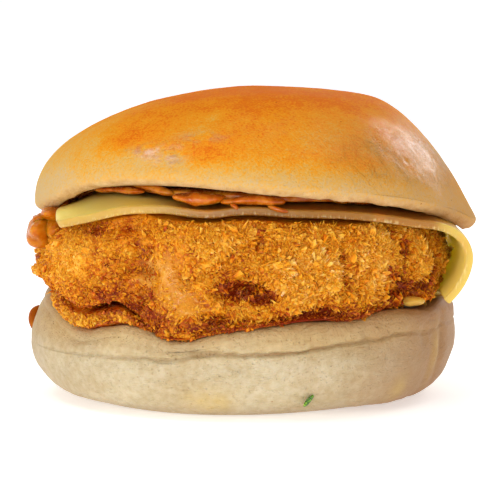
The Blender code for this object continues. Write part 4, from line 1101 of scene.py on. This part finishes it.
def makeGarnish():
    drop = buildJoined("sauceDrop", [lumpShell(*garnish["drop"], 97, 0.1)],
                       relishFinish("sauce", (118, 52, 8), (144, 72, 12), (164, 92, 22), 0.04, 0.0))
    settle(drop, "bun_bottom")
    paint = Paint("herb")
    vein = paint.grain(0.5, 3, 0.6)
    base = paint.ramp(vein, (0.35, 24, 50, 4), (0.5, 72, 122, 12), (0.66, 156, 196, 50))
    finish = paint.surface(Base_Color=base, Roughness=0.3 + 0.2 * vein, Normal=paint.bump((vein, 0.2, 0.7)))
    settle(buildJoined("herbFleck", [strandShell(garnish["herb"], 0.75, 0.5, 98)], finish), "bun_bottom")


# ---- floor, light and camera

studio = {
    "floorRadius": 1.3, "sweepRadius": 0.9, "floorSides": 96, "floorRows": 24, "floorGlow": 0.46, "world": 0.32,
    "cameraDistance": 600.0, "cameraElevation": 5.5, "aimZ": 35.3,
    "sensor": 36.0, "pixelsPerUnit": 2400.0, "imageSize": 500.0,
}
# metres and watts: name, place, aim, size, energy, colour
lights = [
    ("overheadSoftbox", (-0.1, 0.1, 1.3), (0, 0, 0), (1.3, 1.3), 6.0, (1, 1, 1)),
    ("keyLight", (-0.5, -0.76, 0.29), (0, 0, 0.045), (0.36, 0.28), 1.7, (1, 0.98, 0.94)),
    ("lowFill", (-0.14, -0.95, 0.13), (0, 0, 0.045), (0.4, 0.14), 2.2, (1, 0.97, 0.92)),
    ("sparkle", (-0.42, -0.05, 0.76), (0, 0, 0.06), (0.16, 0.16), 0.8, (1, 0.98, 0.95)),
    ("backSoftbox", (0.55, 0.6, 0.5), (0, 0, 0.06), (0.4, 0.4), 1.9, (1, 0.95, 0.97)),
    ("sideFill", (0.8, -0.12, 0.12), (0.05, 0, 0.035), (0.2, 0.12), 0.32, (1, 0.98, 0.92)),
]


def makeFloor():
    # a flat disc that sweeps up all round in a quarter circle
    paint = Paint("paleFloor", Emission_Color=(1, 1, 1, 1), Emission_Strength=studio["floorGlow"])
    cloud = paint.grain(400, 2)
    stops = [(0.3, (0.9, 0.9, 0.9, 1)), (0.7, (0.93, 0.93, 0.93, 1))]
    white = paint.node("ShaderNodeValToRGB", {"stops": stops}, {0: cloud})
    finish = paint.surface(Base_Color=white, Roughness=0.9 + 0.05 * cloud)
    turn, rows, sweep = turns(studio["floorSides"])[None, :], studio["floorRows"], studio["sweepRadius"]
    flat, bend = np.linspace(0.02, 1, rows)[:, None], np.linspace(0, math.pi / 2, rows)[1:, None]
    radius = np.vstack([studio["floorRadius"] * flat, studio["floorRadius"] + sweep * np.sin(bend)])
    height = np.vstack([0 * flat, sweep * (1 - np.cos(bend))])
    rings = np.stack([radius * np.cos(turn), radius * np.sin(turn), height + 0 * turn], 2) / mm
    quads, fans = ringFaces(*rings.shape[:2])
    points = np.vstack([rings.reshape(-1, 3), [(0, 0, 0), (0, 0, 0)]])
    buildMesh("floorSweep", points, [quads, fans[:rings.shape[1]]], finish)


def makeLight(name, place, aim, size, energy, colour):
    lamp = bpy.data.lights.new(name, "AREA")
    lamp.shape, lamp.size, lamp.size_y = "RECTANGLE", size[0], size[1]
    lamp.energy, lamp.color = energy, colour
    holder = bpy.data.objects.new(name, lamp)
    holder.location = place
    away = np.array(place) - np.array(aim)
    holder.rotation_euler = (math.atan2(math.hypot(away[0], away[1]), away[2]), 0, math.atan2(away[0], -away[1]))
    bpy.context.scene.collection.objects.link(holder)


def makeStudio():
    makeFloor()
    for light in lights:
        makeLight(*light)
    world = bpy.context.scene.world or bpy.data.worlds.new("studioWorld")
    bpy.context.scene.world = world
    world.use_nodes = True
    backdrop = world.node_tree.nodes["Background"]
    backdrop.inputs["Color"].default_value = (1, 1, 1, 1)
    backdrop.inputs["Strength"].default_value = studio["world"]
    bpy.context.scene.view_settings.view_transform = "Standard"


def makeCamera():
    # looks at (0, 0, aimZ) from the front, a little above it
    tilt, distance = math.radians(studio["cameraElevation"]), studio["cameraDistance"]
    lens = bpy.data.cameras.new("camera")
    lens.sensor_width = studio["sensor"]
    lens.lens = studio["sensor"] * studio["pixelsPerUnit"] / studio["imageSize"]
    lens.clip_start = 0.01
    camera = bpy.data.objects.new("camera", lens)
    camera.location = (0, -distance * math.cos(tilt) * mm, (studio["aimZ"] + distance * math.sin(tilt)) * mm)
    camera.rotation_euler = (math.pi / 2 - tilt, 0, 0)
    bpy.context.scene.collection.objects.link(camera)
    bpy.context.scene.camera = camera


makeCamera()
makeStudio()
makeHeel()
makeGarnish()
makeLowerRelish()
makeCrumb(*makeCrust())
makeCheese()
makeUpperRelish()
makeCrown()
